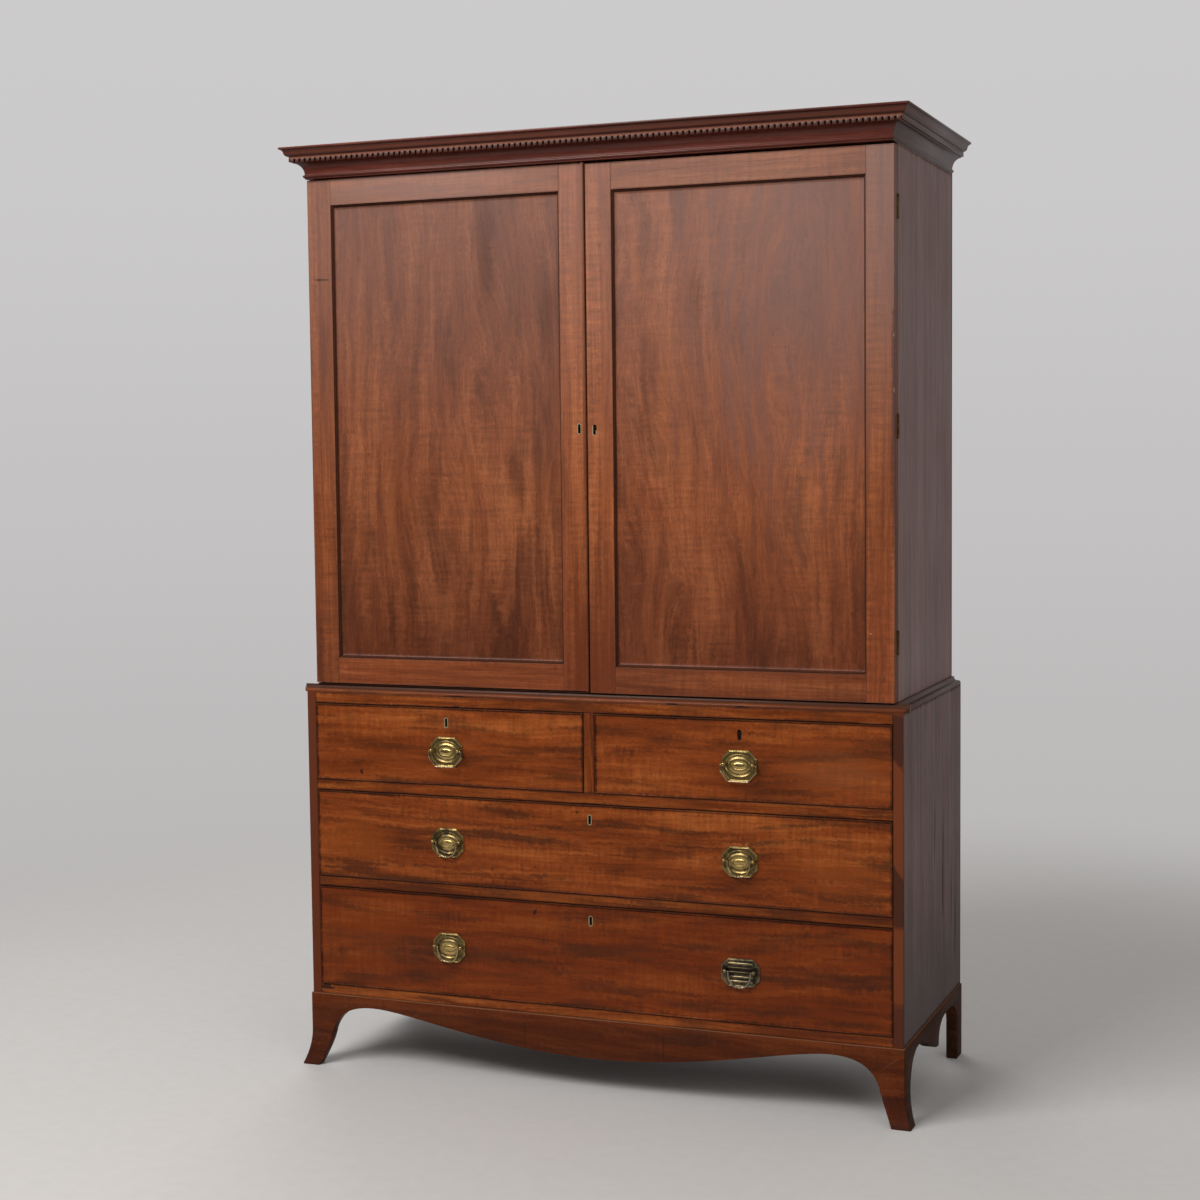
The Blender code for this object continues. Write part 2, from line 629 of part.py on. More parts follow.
def build_hanging_rail(ceiling, press):
    """Round rail across the cupboard, in two turned sockets on its sides."""
    axis = (0.0, (UPPER_FRONT + BACK_FACE) / 2, ceiling - RAIL_DROP)
    bore = RAIL_RADIUS + SEAT
    wall = UPPER_INSIDE - SEAT
    profile = [(0, 0), (SOCKET_FLANGE, 0), (SOCKET_FLANGE, SOCKET_PLATE),
               (SOCKET_CUP, SOCKET_PLATE + SOCKET_SLOPE), (SOCKET_CUP, SOCKET_LENGTH),
               (bore, SOCKET_LENGTH), (bore, SOCKET_PLATE), (0, SOCKET_PLATE)]
    for name, side in (("rail_socket_left", -1), ("rail_socket_right", 1)):
        turned = [(radius, side * (wall - along)) for radius, along in profile]
        add_piece(name, lathe(turned, "x", axis, RAIL_SEGMENTS), press, BRASS, smooth=SMOOTH_METAL)
    reach = wall - SOCKET_PLATE - SEAT
    bar = [(0, -reach), (RAIL_RADIUS, -reach), (RAIL_RADIUS, reach), (0, reach)]
    add_piece("hanging_rail", lathe(bar, "x", axis, RAIL_SEGMENTS), press, BRASS, smooth=SMOOTH_METAL)


def build_cupboard(press):
    """Sides, boards and back of the upper case, with its hanging rail; returns the two sides."""
    z = (LOWER_TOP + SEAT, UPPER_TOP)
    left = case_side("upper_left_side", -1, UPPER_HALF, z, UPPER_FRONT, press)
    right = case_side("upper_right_side", 1, UPPER_HALF, z, UPPER_FRONT, press)
    back_panel("upper_back_panel", UPPER_INSIDE, z, press)
    half = UPPER_INSIDE - SEAT
    back = BACK_FACE - SEAT
    ceiling = UPPER_TOP - UPPER_BOARD
    bottom = block((-half, UPPER_FRONT, z[0]), (half, back, z[0] + UPPER_BOARD))
    add_piece("upper_bottom_board", bottom, press, PINE_BACK)
    top = block((-half, UPPER_FRONT, ceiling), (half, back, UPPER_TOP))
    add_piece("upper_top_board", top, press, PINE_BACK)
    build_hanging_rail(ceiling, press)
    return left, right


def cornice_profile():
    """Section of the cornice: (projection from the case, height above its foot)."""
    lip = BAND_PROJECTION + CYMA_LEDGE
    crest = CORNICE_OVERHANG - FILLET_STEP
    cyma_top = BAND_TOP + CYMA_HEIGHT
    handles = [(between(lip, crest, across), between(BAND_TOP, cyma_top, up)) for across, up in CYMA_SWEEP]
    points = [(0.0, 0.0)]
    points += arc((0.0, BEAD_RISE), (CORNICE_BEAD, CORNICE_BEAD), -90, 90, MOULDING_STEPS)
    points += arc((COVE_PROJECTION, COVE_FOOT), (-COVE_PROJECTION, COVE_HEIGHT), 0, 90, CYMA_STEPS)[1:]
    points += [(COVE_PROJECTION, BAND_BOTTOM), (BAND_PROJECTION, BAND_BOTTOM), (BAND_PROJECTION, BAND_TOP),
               (lip, BAND_TOP)]
    points += bezier((lip, BAND_TOP), *handles, (crest, cyma_top), CYMA_STEPS)
    points += [(CORNICE_OVERHANG, cyma_top), (CORNICE_OVERHANG, CORNICE_HEIGHT),
               (-CORNICE_SEAT, CORNICE_HEIGHT), (-CORNICE_SEAT, 0.0)]
    return points


def dentil_slots(foot):
    """Cutter for the gaps between the dentils."""
    slots = bmesh.new()
    count = int(2 * (UPPER_HALF + BAND_PROJECTION) / DENTIL_PITCH)
    half = (DENTIL_PITCH - DENTIL_WIDTH) / 2
    low = foot + BAND_BOTTOM - BAND_STEP / 2
    high = foot + BAND_TOP - DENTIL_HEAD
    for i in range(count - 1):
        x = (i - (count - 2) / 2) * DENTIL_PITCH
        add_box(slots, (x - half, -BAND_PROJECTION - OVERLAP, low),
                (x + half, DENTIL_DEPTH - BAND_PROJECTION, high))
    return slots


def build_cornice(press):
    """Front length with dentils and a backing strip, and two plain mitred returns."""
    foot = UPPER_TOP + SEAT
    profile = cornice_profile()
    loops = [[(side * (UPPER_HALF + p), -p, foot + h) for p, h in profile] for side in (-1, 1)]
    front = add_piece("cornice_front", stack(loops), press, DARK_MAHOGANY, smooth=SMOOTH_WOOD)
    strip_half = UPPER_HALF - CORNICE_SEAT - SEAT
    strip = block((-strip_half, CORNICE_SEAT - OVERLAP, foot),
                  (strip_half, UPPER_FRONT + CORNICE_SEAT, foot + BACKING_HEIGHT))
    combine(front, strip, "UNION", press)
    combine(front, dentil_slots(foot), "DIFFERENCE", press)
    for name, side in (("cornice_left", -1), ("cornice_right", 1)):
        loops = [[(side * (UPPER_HALF + p), -p + MITRE_GAP, foot + h) for p, h in profile],
                 [(side * (UPPER_HALF + p), CASE_DEPTH, foot + h) for p, h in profile]]
        add_piece(name, stack(loops), press, DARK_MAHOGANY, smooth=SMOOTH_WOOD)


def hinge_heights():
    """Centres of a door's three hinges."""
    low = DOOR_BOTTOM + HINGE_INSET
    high = DOOR_TOP - HINGE_INSET
    return {"bottom": low, "middle": (low + high) / 2, "top": high}


def knuckle_profile(z):
    """Turned outline of a hinge barrel with two joints between its knuckles."""
    half = HINGE_HEIGHT / 2
    points = [(0.0, -half - FINIAL_HEIGHT), (KNUCKLE_RADIUS * FINIAL_TAPER, -half - FINIAL_HEIGHT / 2),
              (KNUCKLE_RADIUS, -half)]
    for joint in (-half / 3, half / 3):
        points += [(KNUCKLE_RADIUS, joint - KNUCKLE_NOTCH), (KNUCKLE_RADIUS - KNUCKLE_GROOVE, joint),
                   (KNUCKLE_RADIUS, joint + KNUCKLE_NOTCH)]
    points += [(r, -h) for r, h in points[2::-1]]
    return [(r, z + h) for r, h in points]


def barrel_clearance(side, drop):
    """Cutter that makes room for the barrels of a door's three hinges."""
    reach = HINGE_HEIGHT / 2 + FINIAL_HEIGHT + HINGE_CLEARANCE
    outline = ring((side * HINGE_X, HINGE_Y), KNUCKLE_RADIUS + HINGE_CLEARANCE, CLEARANCE_SEGMENTS)
    bm = bmesh.new()
    for height in hinge_heights().values():
        add_prism(bm, outline, "z", height - drop - reach, height - drop + reach)
    return bm


def build_hinges(prefix, side, drop, press, stile, case):
    """Three butt hinges let into a case side, with room for their barrels in side and stile."""
    front = HINGE_Y + HINGE_CLEARANCE / 4
    back = front + HINGE_LEAF
    half = HINGE_HEIGHT / 2
    x_leaf = sorted((side * (HINGE_X - HINGE_LEAF_WIDTH), side * HINGE_X))
    x_mortice = (x_leaf[0] - HINGE_CLEARANCE, x_leaf[1] + HINGE_CLEARANCE)
    mortices = bmesh.new()
    for place, height in hinge_heights().items():
        z = height - drop
        barrel = lathe(knuckle_profile(z), "z", (side * HINGE_X, HINGE_Y, 0.0), KNUCKLE_SEGMENTS)
        hinge = add_piece(f"{prefix}_hinge_{place}", barrel, press, BRASS, smooth=SMOOTH_METAL)
        leaf = block((x_leaf[0], front, z - half), (x_leaf[1], back, z + half))
        combine(hinge, leaf, "UNION", press)
        add_box(mortices, (x_mortice[0], UPPER_FRONT - OVERLAP, z - half - HINGE_CLEARANCE),
                (x_mortice[1], back + HINGE_CLEARANCE, z + half + HINGE_CLEARANCE))
    combine(case, mortices, "DIFFERENCE", press)
    combine(case, barrel_clearance(side, drop), "DIFFERENCE", press)
    combine(stile, barrel_clearance(side, drop), "DIFFERENCE", stile.parent)


def door_groove():
    """Front and back faces of the groove that runs round the inside of a door frame."""
    front = DOOR_SETBACK + PANEL_RECESS
    return front, front + PANEL_BOARD


def door_stile(name, outer, inner, z, pivot):
    """Upright of a door frame: a section with a groove in its inner edge."""
    groove = door_groove()
    deep = inner + math.copysign(GROOVE_DEPTH, outer - inner)
    outline = [(outer, DOOR_SETBACK), (inner, DOOR_SETBACK), (inner, groove[0]), (deep, groove[0]),
               (deep, groove[1]), (inner, groove[1]), (inner, DOOR_BACK), (outer, DOOR_BACK)]
    return add_piece(name, prism(outline, "z", *z), pivot, MAHOGANY)


def door_rail(name, x, outer, inner, pivot):
    """Cross rail of a door frame: grooved for the panel, with tenons in the stiles' grooves."""
    groove = door_groove()
    deep = inner + math.copysign(GROOVE_DEPTH, outer - inner)
    outline = [(DOOR_SETBACK, outer), (DOOR_SETBACK, inner), (groove[0], inner), (groove[0], deep),
               (groove[1], deep), (groove[1], inner), (DOOR_BACK, inner), (DOOR_BACK, outer)]
    rail = add_piece(name, prism(outline, "x", x[0] + SEAT, x[1] - SEAT), pivot, MAHOGANY)
    tenon = GROOVE_DEPTH - SEAT
    z = sorted((outer, deep))
    faces = (groove[0] + SEAT, groove[1] - SEAT)
    tenons = bmesh.new()
    add_box(tenons, (x[0] - tenon, faces[0], z[0]), (x[0] + OVERLAP, faces[1], z[1]))
    add_box(tenons, (x[1] - OVERLAP, faces[0], z[0]), (x[1] + tenon, faces[1], z[1]))
    combine(rail, tenons, "UNION", pivot)


def door_panel(name, x, z, pivot):
    """Flat panel in the frame's grooves, with a hollow moulding planted round its face."""
    groove = door_groove()
    tongue = GROOVE_DEPTH - 2 * SEAT
    wide = [(x[0] - tongue, x[1] + tongue), (z[0] - tongue, z[1] + tongue)]
    face = groove[0] + SEAT
    crest = face - PANEL_MOULD_HEIGHT
    edge = tongue + SEAT
    foot = edge + PANEL_MOULD_FLAT + PANEL_MOULD_HOLLOW
    steps = [(0.0, groove[1] - SEAT), (0.0, face), (edge, face), (edge, crest)]
    steps += arc((foot, crest), (-PANEL_MOULD_HOLLOW, PANEL_MOULD_HEIGHT), 0, 90, MOULDING_STEPS)
    add_piece(name, stack([rectangle(*wide, inset, y) for inset, y in steps]), pivot, MAHOGANY)


def build_door(prefix, side, drop, case, press):
    """One framed door on its hinge axis, hung on a side of the cupboard."""
    pivot = add_pivot(prefix + "_pivot", (side * HINGE_X, HINGE_Y, DOOR_BOTTOM - drop), press)
    z = (DOOR_BOTTOM - drop, DOOR_TOP - drop)
    meeting = side * MEETING_GAP / 2
    hinge_inner = side * (UPPER_HALF - STILE_WIDTH)
    meeting_inner = meeting + side * STILE_WIDTH
    hinge_stile = door_stile(prefix + "_hinge_stile", side * UPPER_HALF, hinge_inner, z, pivot)
    meeting_stile = door_stile(prefix + "_meeting_stile", meeting, meeting_inner, z, pivot)
    keyhole = keyhole_slot(meeting + side * DOOR_KEYHOLE_INSET, z[0] + DOOR_KEYHOLE_HEIGHT, DOOR_SETBACK)
    combine(meeting_stile, keyhole, "DIFFERENCE", pivot)
    x = sorted((hinge_inner, meeting_inner))
    opening = (z[0] + DOOR_RAIL_WIDTH, z[1] - DOOR_RAIL_WIDTH)
    door_rail(prefix + "_bottom_rail", x, z[0], opening[0], pivot)
    door_rail(prefix + "_top_rail", x, z[1], opening[1], pivot)
    door_panel(prefix + "_panel", x, opening, pivot)
    build_hinges(prefix, side, drop, press, hinge_stile, case)
    return pivot


def build_astragal(pivot):
    """Half-round bead down the meeting edge of the left door."""
    middle = -MEETING_GAP / 2 - ASTRAGAL_WIDTH / 2
    face = DOOR_SETBACK - SEAT
    section = arc((middle, face), (ASTRAGAL_WIDTH / 2, ASTRAGAL_PROUD), 180, 360, MOULDING_STEPS + 2)
    bead = prism(section, "z", DOOR_BOTTOM, DOOR_TOP)
    add_piece("door_astragal", bead, pivot, MAHOGANY, smooth=SMOOTH_METAL)


def drawer_front(x, z):
    """Drawer front with a cockbead standing proud round its edge."""
    eased = COCKBEAD_EASE - COCKBEAD_PROUD
    steps = [(0.0, DRAWER_FRONT), (0.0, eased), (COCKBEAD_EASE, -COCKBEAD_PROUD),
             (COCKBEAD - COCKBEAD_EASE, -COCKBEAD_PROUD), (COCKBEAD, eased), (COCKBEAD, 0.0)]
    return stack([rectangle(x, z, inset, y) for inset, y in steps])


def dovetails(x, z, swell):
    """Tails of both drawer sides, swollen by a clearance where they cut their sockets."""
    bm = bmesh.new()
    count = max(2, int((z[1] - z[0]) / TAIL_PITCH))
    root = TAIL_WIDTH / 2 - TAIL_FLARE + swell
    tip = TAIL_WIDTH / 2 + swell
    front = DRAWER_FRONT - TAIL_LENGTH - swell
    back = DRAWER_FRONT + OVERLAP
    past = OVERLAP if swell else 0.0
    for i in range(count):
        middle = between(z[0], z[1], (i + 0.5) / count)
        outline = [(front, middle - tip), (front, middle + tip), (back, middle + root), (back, middle - root)]
        add_prism(bm, outline, "x", x[0] - past, x[0] + DRAWER_SIDE + swell)
        add_prism(bm, outline, "x", x[1] - DRAWER_SIDE - swell, x[1] + past)
    return bm


def build_drawer(name, x, z, keyhole_x, press):
    """One drawer: dovetailed front with keyhole, and a box of sides, back and bottom."""
    pivot = add_pivot(name + "_slide", ((x[0] + x[1]) / 2, 0.0, z[0]), press)
    x = (x[0] + DRAWER_CLEARANCE, x[1] - DRAWER_CLEARANCE)
    z_front = (z[0] + SEAT, z[1] - DRAWER_HEAD_GAP)
    z_side = (z_front[0], z_front[1] - DRAWER_SIDE_DROP)
    front = add_piece(name + "_front", drawer_front(x, z_front), pivot, MAHOGANY)
    combine(front, dovetails(x, z_side, SEAT), "DIFFERENCE", pivot)
    combine(front, keyhole_slot(keyhole_x, z[1] - DRAWER_KEYHOLE_DROP, 0.0), "DIFFERENCE", pivot)
    shoulder = DRAWER_FRONT + SEAT
    end = BACK_FACE - DRAWER_BACK_SPACE
    inner = (x[0] + DRAWER_SIDE, x[1] - DRAWER_SIDE)
    walls = [(x[0], shoulder), (x[0], end), (x[1], end), (x[1], shoulder), (inner[1], shoulder),
             (inner[1], end - DRAWER_SIDE), (inner[0], end - DRAWER_SIDE), (inner[0], shoulder)]
    box = add_piece(name + "_box", prism(walls, "z", *z_side), pivot, DRAWER_LINING)
    floor = z_side[0] + DRAWER_BOTTOM_RISE
    board = block((inner[0] - OVERLAP, shoulder, floor),
                  (inner[1] + OVERLAP, end - DRAWER_SIDE + OVERLAP, floor + DRAWER_BOTTOM))
    combine(box, board, "UNION", pivot)
    combine(box, dovetails(x, z_side, 0.0), "UNION", pivot)
    return pivot


def octagon(size, scale):
    """Outline of a handle plate of (width, height, corner), drawn in, with points along its edges."""
    width, height, corner = size
    x, z = width / 2, height / 2
    u, v = x - corner, z - corner
    corners = [(x, -v), (x, v), (u, z), (-u, z), (-x, v), (-x, -v), (-u, -z), (u, -z)]
    points = []
    for start, end in zip(corners, corners[1:] + corners[:1]):
        for i in range(PLATE_EDGE_POINTS):
            along = [between(start[k], end[k], i / PLATE_EDGE_POINTS) for k in (0, 1)]
            points.append((scale * along[0], scale * along[1]))
    return points


def oval(size, across, upright):
    """Ellipse inside a plate, with one point on the ray of each point of the plate's outline."""
    points = []
    for x, z in octagon(size, 1.0):
        reach = 1 / math.hypot(x / (size[0] * across), z / (size[1] * upright))
        points.append((x * reach, z * reach))
    return points


def plate_reeds(size, x, z):
    """Raised half-round bars across the field of the reeded plate."""
    width, height, corner = size
    half = width / 2 - corner
    step = (height - 2 * REED_MARGIN) / REED_COUNT
    radii = (-REED_RELIEF, (step - REED_GAP) / 2)
    root = -SEAT - PLATE_SHEET / 2
    bm = bmesh.new()
    for i in range(REED_COUNT):
        middle = z + (i - (REED_COUNT - 1) / 2) * step
        add_prism(bm, arc((root, middle), radii, -90, 90, REED_STEPS), "x", x - half, x + half)
    return bm


def handle_post(x, z):
    """Turned post of a handle, from inside its plate to the ball that holds the bail."""
    root = -SEAT - PLATE_SHEET / 2
    profile = [(0.0, root), (POST_COLLAR, root), (POST_COLLAR, -COLLAR_LENGTH), (POST_NECK, -POST_REACH / 2)]
    profile += arc((0.0, -POST_REACH), (POST_BALL, POST_BALL), 50, -65, MOULDING_STEPS + 1)
    profile += [(0.0, -POST_REACH - POST_BALL)]
    return lathe(profile, "y", (x, 0.0, z), POST_SEGMENTS)


def build_plate(name, x, z, reeded, pivot):
    """Stamped back plate with its two posts, bored across for the bail."""
    if reeded:
        size = (REEDED_WIDTH, REEDED_HEIGHT, REEDED_CORNER)
    else:
        size = (PLATE_WIDTH, PLATE_HEIGHT, PLATE_CORNER)
    rings = [(octagon(size, scale), relief) for scale, relief in PLATE_RIM]
    if not reeded:
        rings += [(oval(size, across, upright), relief) for across, upright, relief in PLATE_OVALS]
    loops = [[(x + u, -SEAT - relief * PLATE_SHEET, z + v) for u, v in outline] for outline, relief in rings]
    plate = add_piece(name, stack(loops), pivot, BRONZED_BRASS if reeded else BRASS, smooth=SMOOTH_METAL)
    if reeded:
        combine(plate, plate_reeds(size, x, z), "UNION", pivot)
    post_z = z + POST_RISE
    middles = (x - POST_X, x + POST_X)
    combine(plate, join(*[handle_post(middle, post_z) for middle in middles]), "UNION", pivot)
    outline = ring((-POST_REACH, post_z), BAIL_RADIUS + BAIL_CLEARANCE, POST_SEGMENTS)
    holes = bmesh.new()
    for middle in middles:
        add_prism(holes, outline, "x", middle - 2 * POST_BALL, middle + 2 * POST_BALL)
    combine(plate, holes, "DIFFERENCE", pivot)


def bail_path(octagonal):
    """Centre line of a bail from one end pin to the other, in (x, z) about its axis."""
    pin = POST_BALL / 2
    if octagonal:
        half, drop = OCTAGON_BAIL_HALF, OCTAGON_BAIL_DROP
        shoulder = drop - PLATE_CORNER - POST_BALL
        right = [(POST_X - pin, 0.0), (half, 0.0), (half, -shoulder), (half - PLATE_CORNER, -drop)]
    else:
        half, drop = ROUND_BAIL_HALF, ROUND_BAIL_DROP
        across, down = ROUND_BAIL_CURVE
        right = [(POST_X + pin, 0.0), (half, 0.0)]
        for i in range(1, ROUND_BAIL_STEPS):
            angle = math.radians(90 * i / ROUND_BAIL_STEPS)
            right.append((half * math.cos(angle) ** across, -drop * math.sin(angle) ** down))
        right.append((ROUND_BAIL_FLAT, -drop))
    return right + [(-u, v) for u, v in reversed(right)]


def tube(path, centre, radius, swell):
    """Round bar along a flat path that faces the front, mitred at its bends, thickest at its foot."""
    points = [Vector(p) for p in path]
    deepest = max(abs(p.y) for p in points)
    x, y, z = centre
    loops = []
    for i, point in enumerate(points):
        before = point - points[i - 1] if i else points[1] - point
        after = points[i + 1] - point if i + 1 < len(points) else before
        heading = (before.normalized() + after.normalized()).normalized()
        widen = 1 / heading.dot(after.normalized())
        across = Vector((-heading.y, heading.x)) * widen
        r = radius + swell * abs(point.y) / deepest
        loop = []
        for k in range(BAIL_SIDES):
            angle = math.tau * k / BAIL_SIDES
            side = across * r * math.cos(angle)
            loop.append((x + point.x + side.x, y + r * math.sin(angle), z + point.y + side.y))
        loops.append(loop)
    return stack(loops)


def build_handle(place, x, z, octagonal, reeded, drawer):
    """Back plate on a drawer front, and the bail that swings in its posts."""
    build_plate(place + "_plate", x, z, reeded, drawer)
    axis = (x, -POST_REACH, z + POST_RISE)
    swell = 0.0 if octagonal else BAIL_SWELL
    bar = tube(bail_path(octagonal), axis, BAIL_RADIUS, swell)
    finish = BRONZED_BRASS if reeded else BRASS
    add_piece(place + "_bail", bar, drawer, finish, origin=axis, smooth=SMOOTH_METAL)


def build_drawers(press):
    """Two short drawers over two long ones, each with its handles."""
    inside = LOWER_INSIDE
    half_muntin = MUNTIN_WIDTH / 2
    top = (Z_TOP_OPENING, Z_TOP_BOARD)
    middle = (Z_MIDDLE_OPENING, Z_UPPER_RAIL)
    bottom = (Z_BOTTOM_OPENING, Z_LOWER_RAIL)
    short_left = build_drawer("top_left_drawer", (-inside, -half_muntin), top, -HANDLE_X, press)
    short_right = build_drawer("top_right_drawer", (half_muntin, inside), top, HANDLE_X, press)
    long_middle = build_drawer("middle_drawer", (-inside, inside), middle, 0.0, press)
    long_bottom = build_drawer("bottom_drawer", (-inside, inside), bottom, 0.0, press)
    z_top = sum(top) / 2 - TOP_HANDLE_DROP
    z_middle = sum(middle) / 2 - LONG_HANDLE_DROP
    z_bottom = sum(bottom) / 2 - LONG_HANDLE_DROP
    build_handle("top_left", -HANDLE_X, z_top, True, False, short_left)
    build_handle("top_right", HANDLE_X, z_top, True, False, short_right)
    build_handle("middle_left", -HANDLE_X, z_middle, False, False, long_middle)
    build_handle("middle_right", HANDLE_X, z_middle, False, False, long_middle)
    build_handle("bottom_left", -HANDLE_X, z_bottom, False, False, long_bottom)
    build_handle("bottom_right", HANDLE_X, z_bottom, False, True, long_bottom)


def main():
    """Build the whole press."""
    clear_scene()
    press = add_pivot("press", (0.0, 0.0, 0.0))
    press.location = (0.0, FRONT_Y, 0.0)
    build_drawer_case(press)
    build_apron(press)
    build_bracket("base_left_bracket", -1, press)
    build_bracket("base_right_bracket", 1, press)
    build_waist(press)
    left_side, right_side = build_cupboard(press)
    build_cornice(press)
    left_door = build_door("left_door", -1, 0.0, left_side, press)
    build_door("right_door", 1, RIGHT_DOOR_DROP, right_side, press)
    build_astragal(left_door)
    build_drawers(press)


main()
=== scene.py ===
"""Looks of a mahogany linen press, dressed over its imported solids.

Metres, +Z up, front towards -Y. Flat boards keep their solids, with eased edges and a finish of their own.
Mouldings, feet, brasses and back boards are modelled again, finer, and stand for their solids.
"""
import logging
import math
import random
import zlib
from contextlib import contextmanager
from dataclasses import dataclass, replace
from enum import Enum
from typing import Callable, Iterator, Optional, Sequence, Union

import bmesh
import bpy
from mathutils import Matrix, Vector


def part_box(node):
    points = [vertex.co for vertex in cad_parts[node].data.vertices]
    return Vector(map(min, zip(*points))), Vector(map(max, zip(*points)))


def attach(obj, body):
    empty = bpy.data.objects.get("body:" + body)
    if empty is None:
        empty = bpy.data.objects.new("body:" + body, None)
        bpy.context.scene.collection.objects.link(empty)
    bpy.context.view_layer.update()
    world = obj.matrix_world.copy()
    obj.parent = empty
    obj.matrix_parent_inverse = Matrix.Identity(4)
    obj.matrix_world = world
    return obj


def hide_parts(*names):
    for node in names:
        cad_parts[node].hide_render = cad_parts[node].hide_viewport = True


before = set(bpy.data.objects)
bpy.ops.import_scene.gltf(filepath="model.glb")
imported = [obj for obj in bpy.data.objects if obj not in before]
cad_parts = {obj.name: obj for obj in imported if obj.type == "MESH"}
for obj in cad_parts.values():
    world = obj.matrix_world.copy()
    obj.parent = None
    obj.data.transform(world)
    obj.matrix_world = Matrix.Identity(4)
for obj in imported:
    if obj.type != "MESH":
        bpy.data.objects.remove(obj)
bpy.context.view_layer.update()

LOG = logging.getLogger("linen_press")

Pair = tuple[float, float]
Point = tuple[float, float, float]
Colour = Point
Piece = bpy.types.Object
Finish = bpy.types.Material
Floats = Sequence[float]
Socket = bpy.types.NodeSocket
Value = Union[float, Socket]
Paint = Union[Colour, Socket]

FRONT_PLANE = -0.246  # front of the drawer case
DRAWER_X = 0.32075  # middle of a top drawer, and of the handles below it
ANY = 1000.0  # size of a mark across an axis that it runs right through
AROUND = 10.0  # size of a band that runs right round a piece
ORIGIN: Point = (0, 0, 0)
FACING = (math.radians(90), 0, 0)  # turn that makes a flat primitive face the front
SHARP = 50.0  # edges of a moulding that turn by more degrees than this are rounded
OVERLENGTH = 0.01  # what a moulding is cut too long by, before its mitre is sawn
NEAR = 1e-5  # distance within which two levels are the same
SIDES = ((-1, "left"), (1, "right"))


class Grain(Enum):
    """Direction in which the fibres of a board run."""

    ACROSS = 0
    DEEP = 1
    UPRIGHT = 2

    def stretch(self, along: float, across: float) -> Point:
        """Waves per metre along the fibres and across them, as one figure for each axis."""
        return tuple(along if axis == self.value else across for axis in range(3))


class Face(Enum):
    """The two axes that span the broad face of a board."""

    FRONT = (0, 2)
    SIDE = (1, 2)
    TOP = (0, 1)


@dataclass(frozen=True)
class Mark:
    """A stain, chip, patch or lighter streak on a board, or light or shade painted on it.

    Args:
        centre: its middle
        size: its full size along each axis, ANY where it runs through
        colour: what it is mixed towards
        strength: how far it is mixed
        tilt: turn about the board's own normal, in degrees
        soft: share of its half size over which it fades out
        square: straight sides instead of an oval
        ragged: how far the grain breaks up its edge
        about: axis of the tilt, where it isn't the one that the mark runs through
        dull: no polish is left on it
    """

    centre: Point
    size: Point
    colour: Colour
    strength: float = 0.8
    tilt: float = 0.0
    soft: float = 0.5
    square: bool = False
    ragged: float = 0.5
    about: Optional[int] = None
    dull: bool = False

    def turn(self) -> Point:
        """Its tilt, as a turn about each axis."""
        normal = max(range(3), key=lambda axis: self.size[axis]) if self.about is None else self.about
        return tuple(self.tilt if axis == normal else 0.0 for axis in range(3))


def streak(x: float, z: float, wide: float, tall: float, colour: Colour, strength: float, tilt: float = 0.0,
           soft: float = 0.9, ragged: float = 0.5) -> Mark:
    """A mark on the front of a board, right through its depth."""
    return Mark((x, 0, z), (wide, ANY, tall), colour, strength, tilt, soft, ragged=ragged)


def band(z: float, tall: float, colour: Colour, strength: float, soft: float, ragged: float = 0.5) -> Mark:
    """A level band right round a piece."""
    return Mark((0, 0, z), (ANY, AROUND, tall), colour, strength, soft=soft, square=True, ragged=ragged)


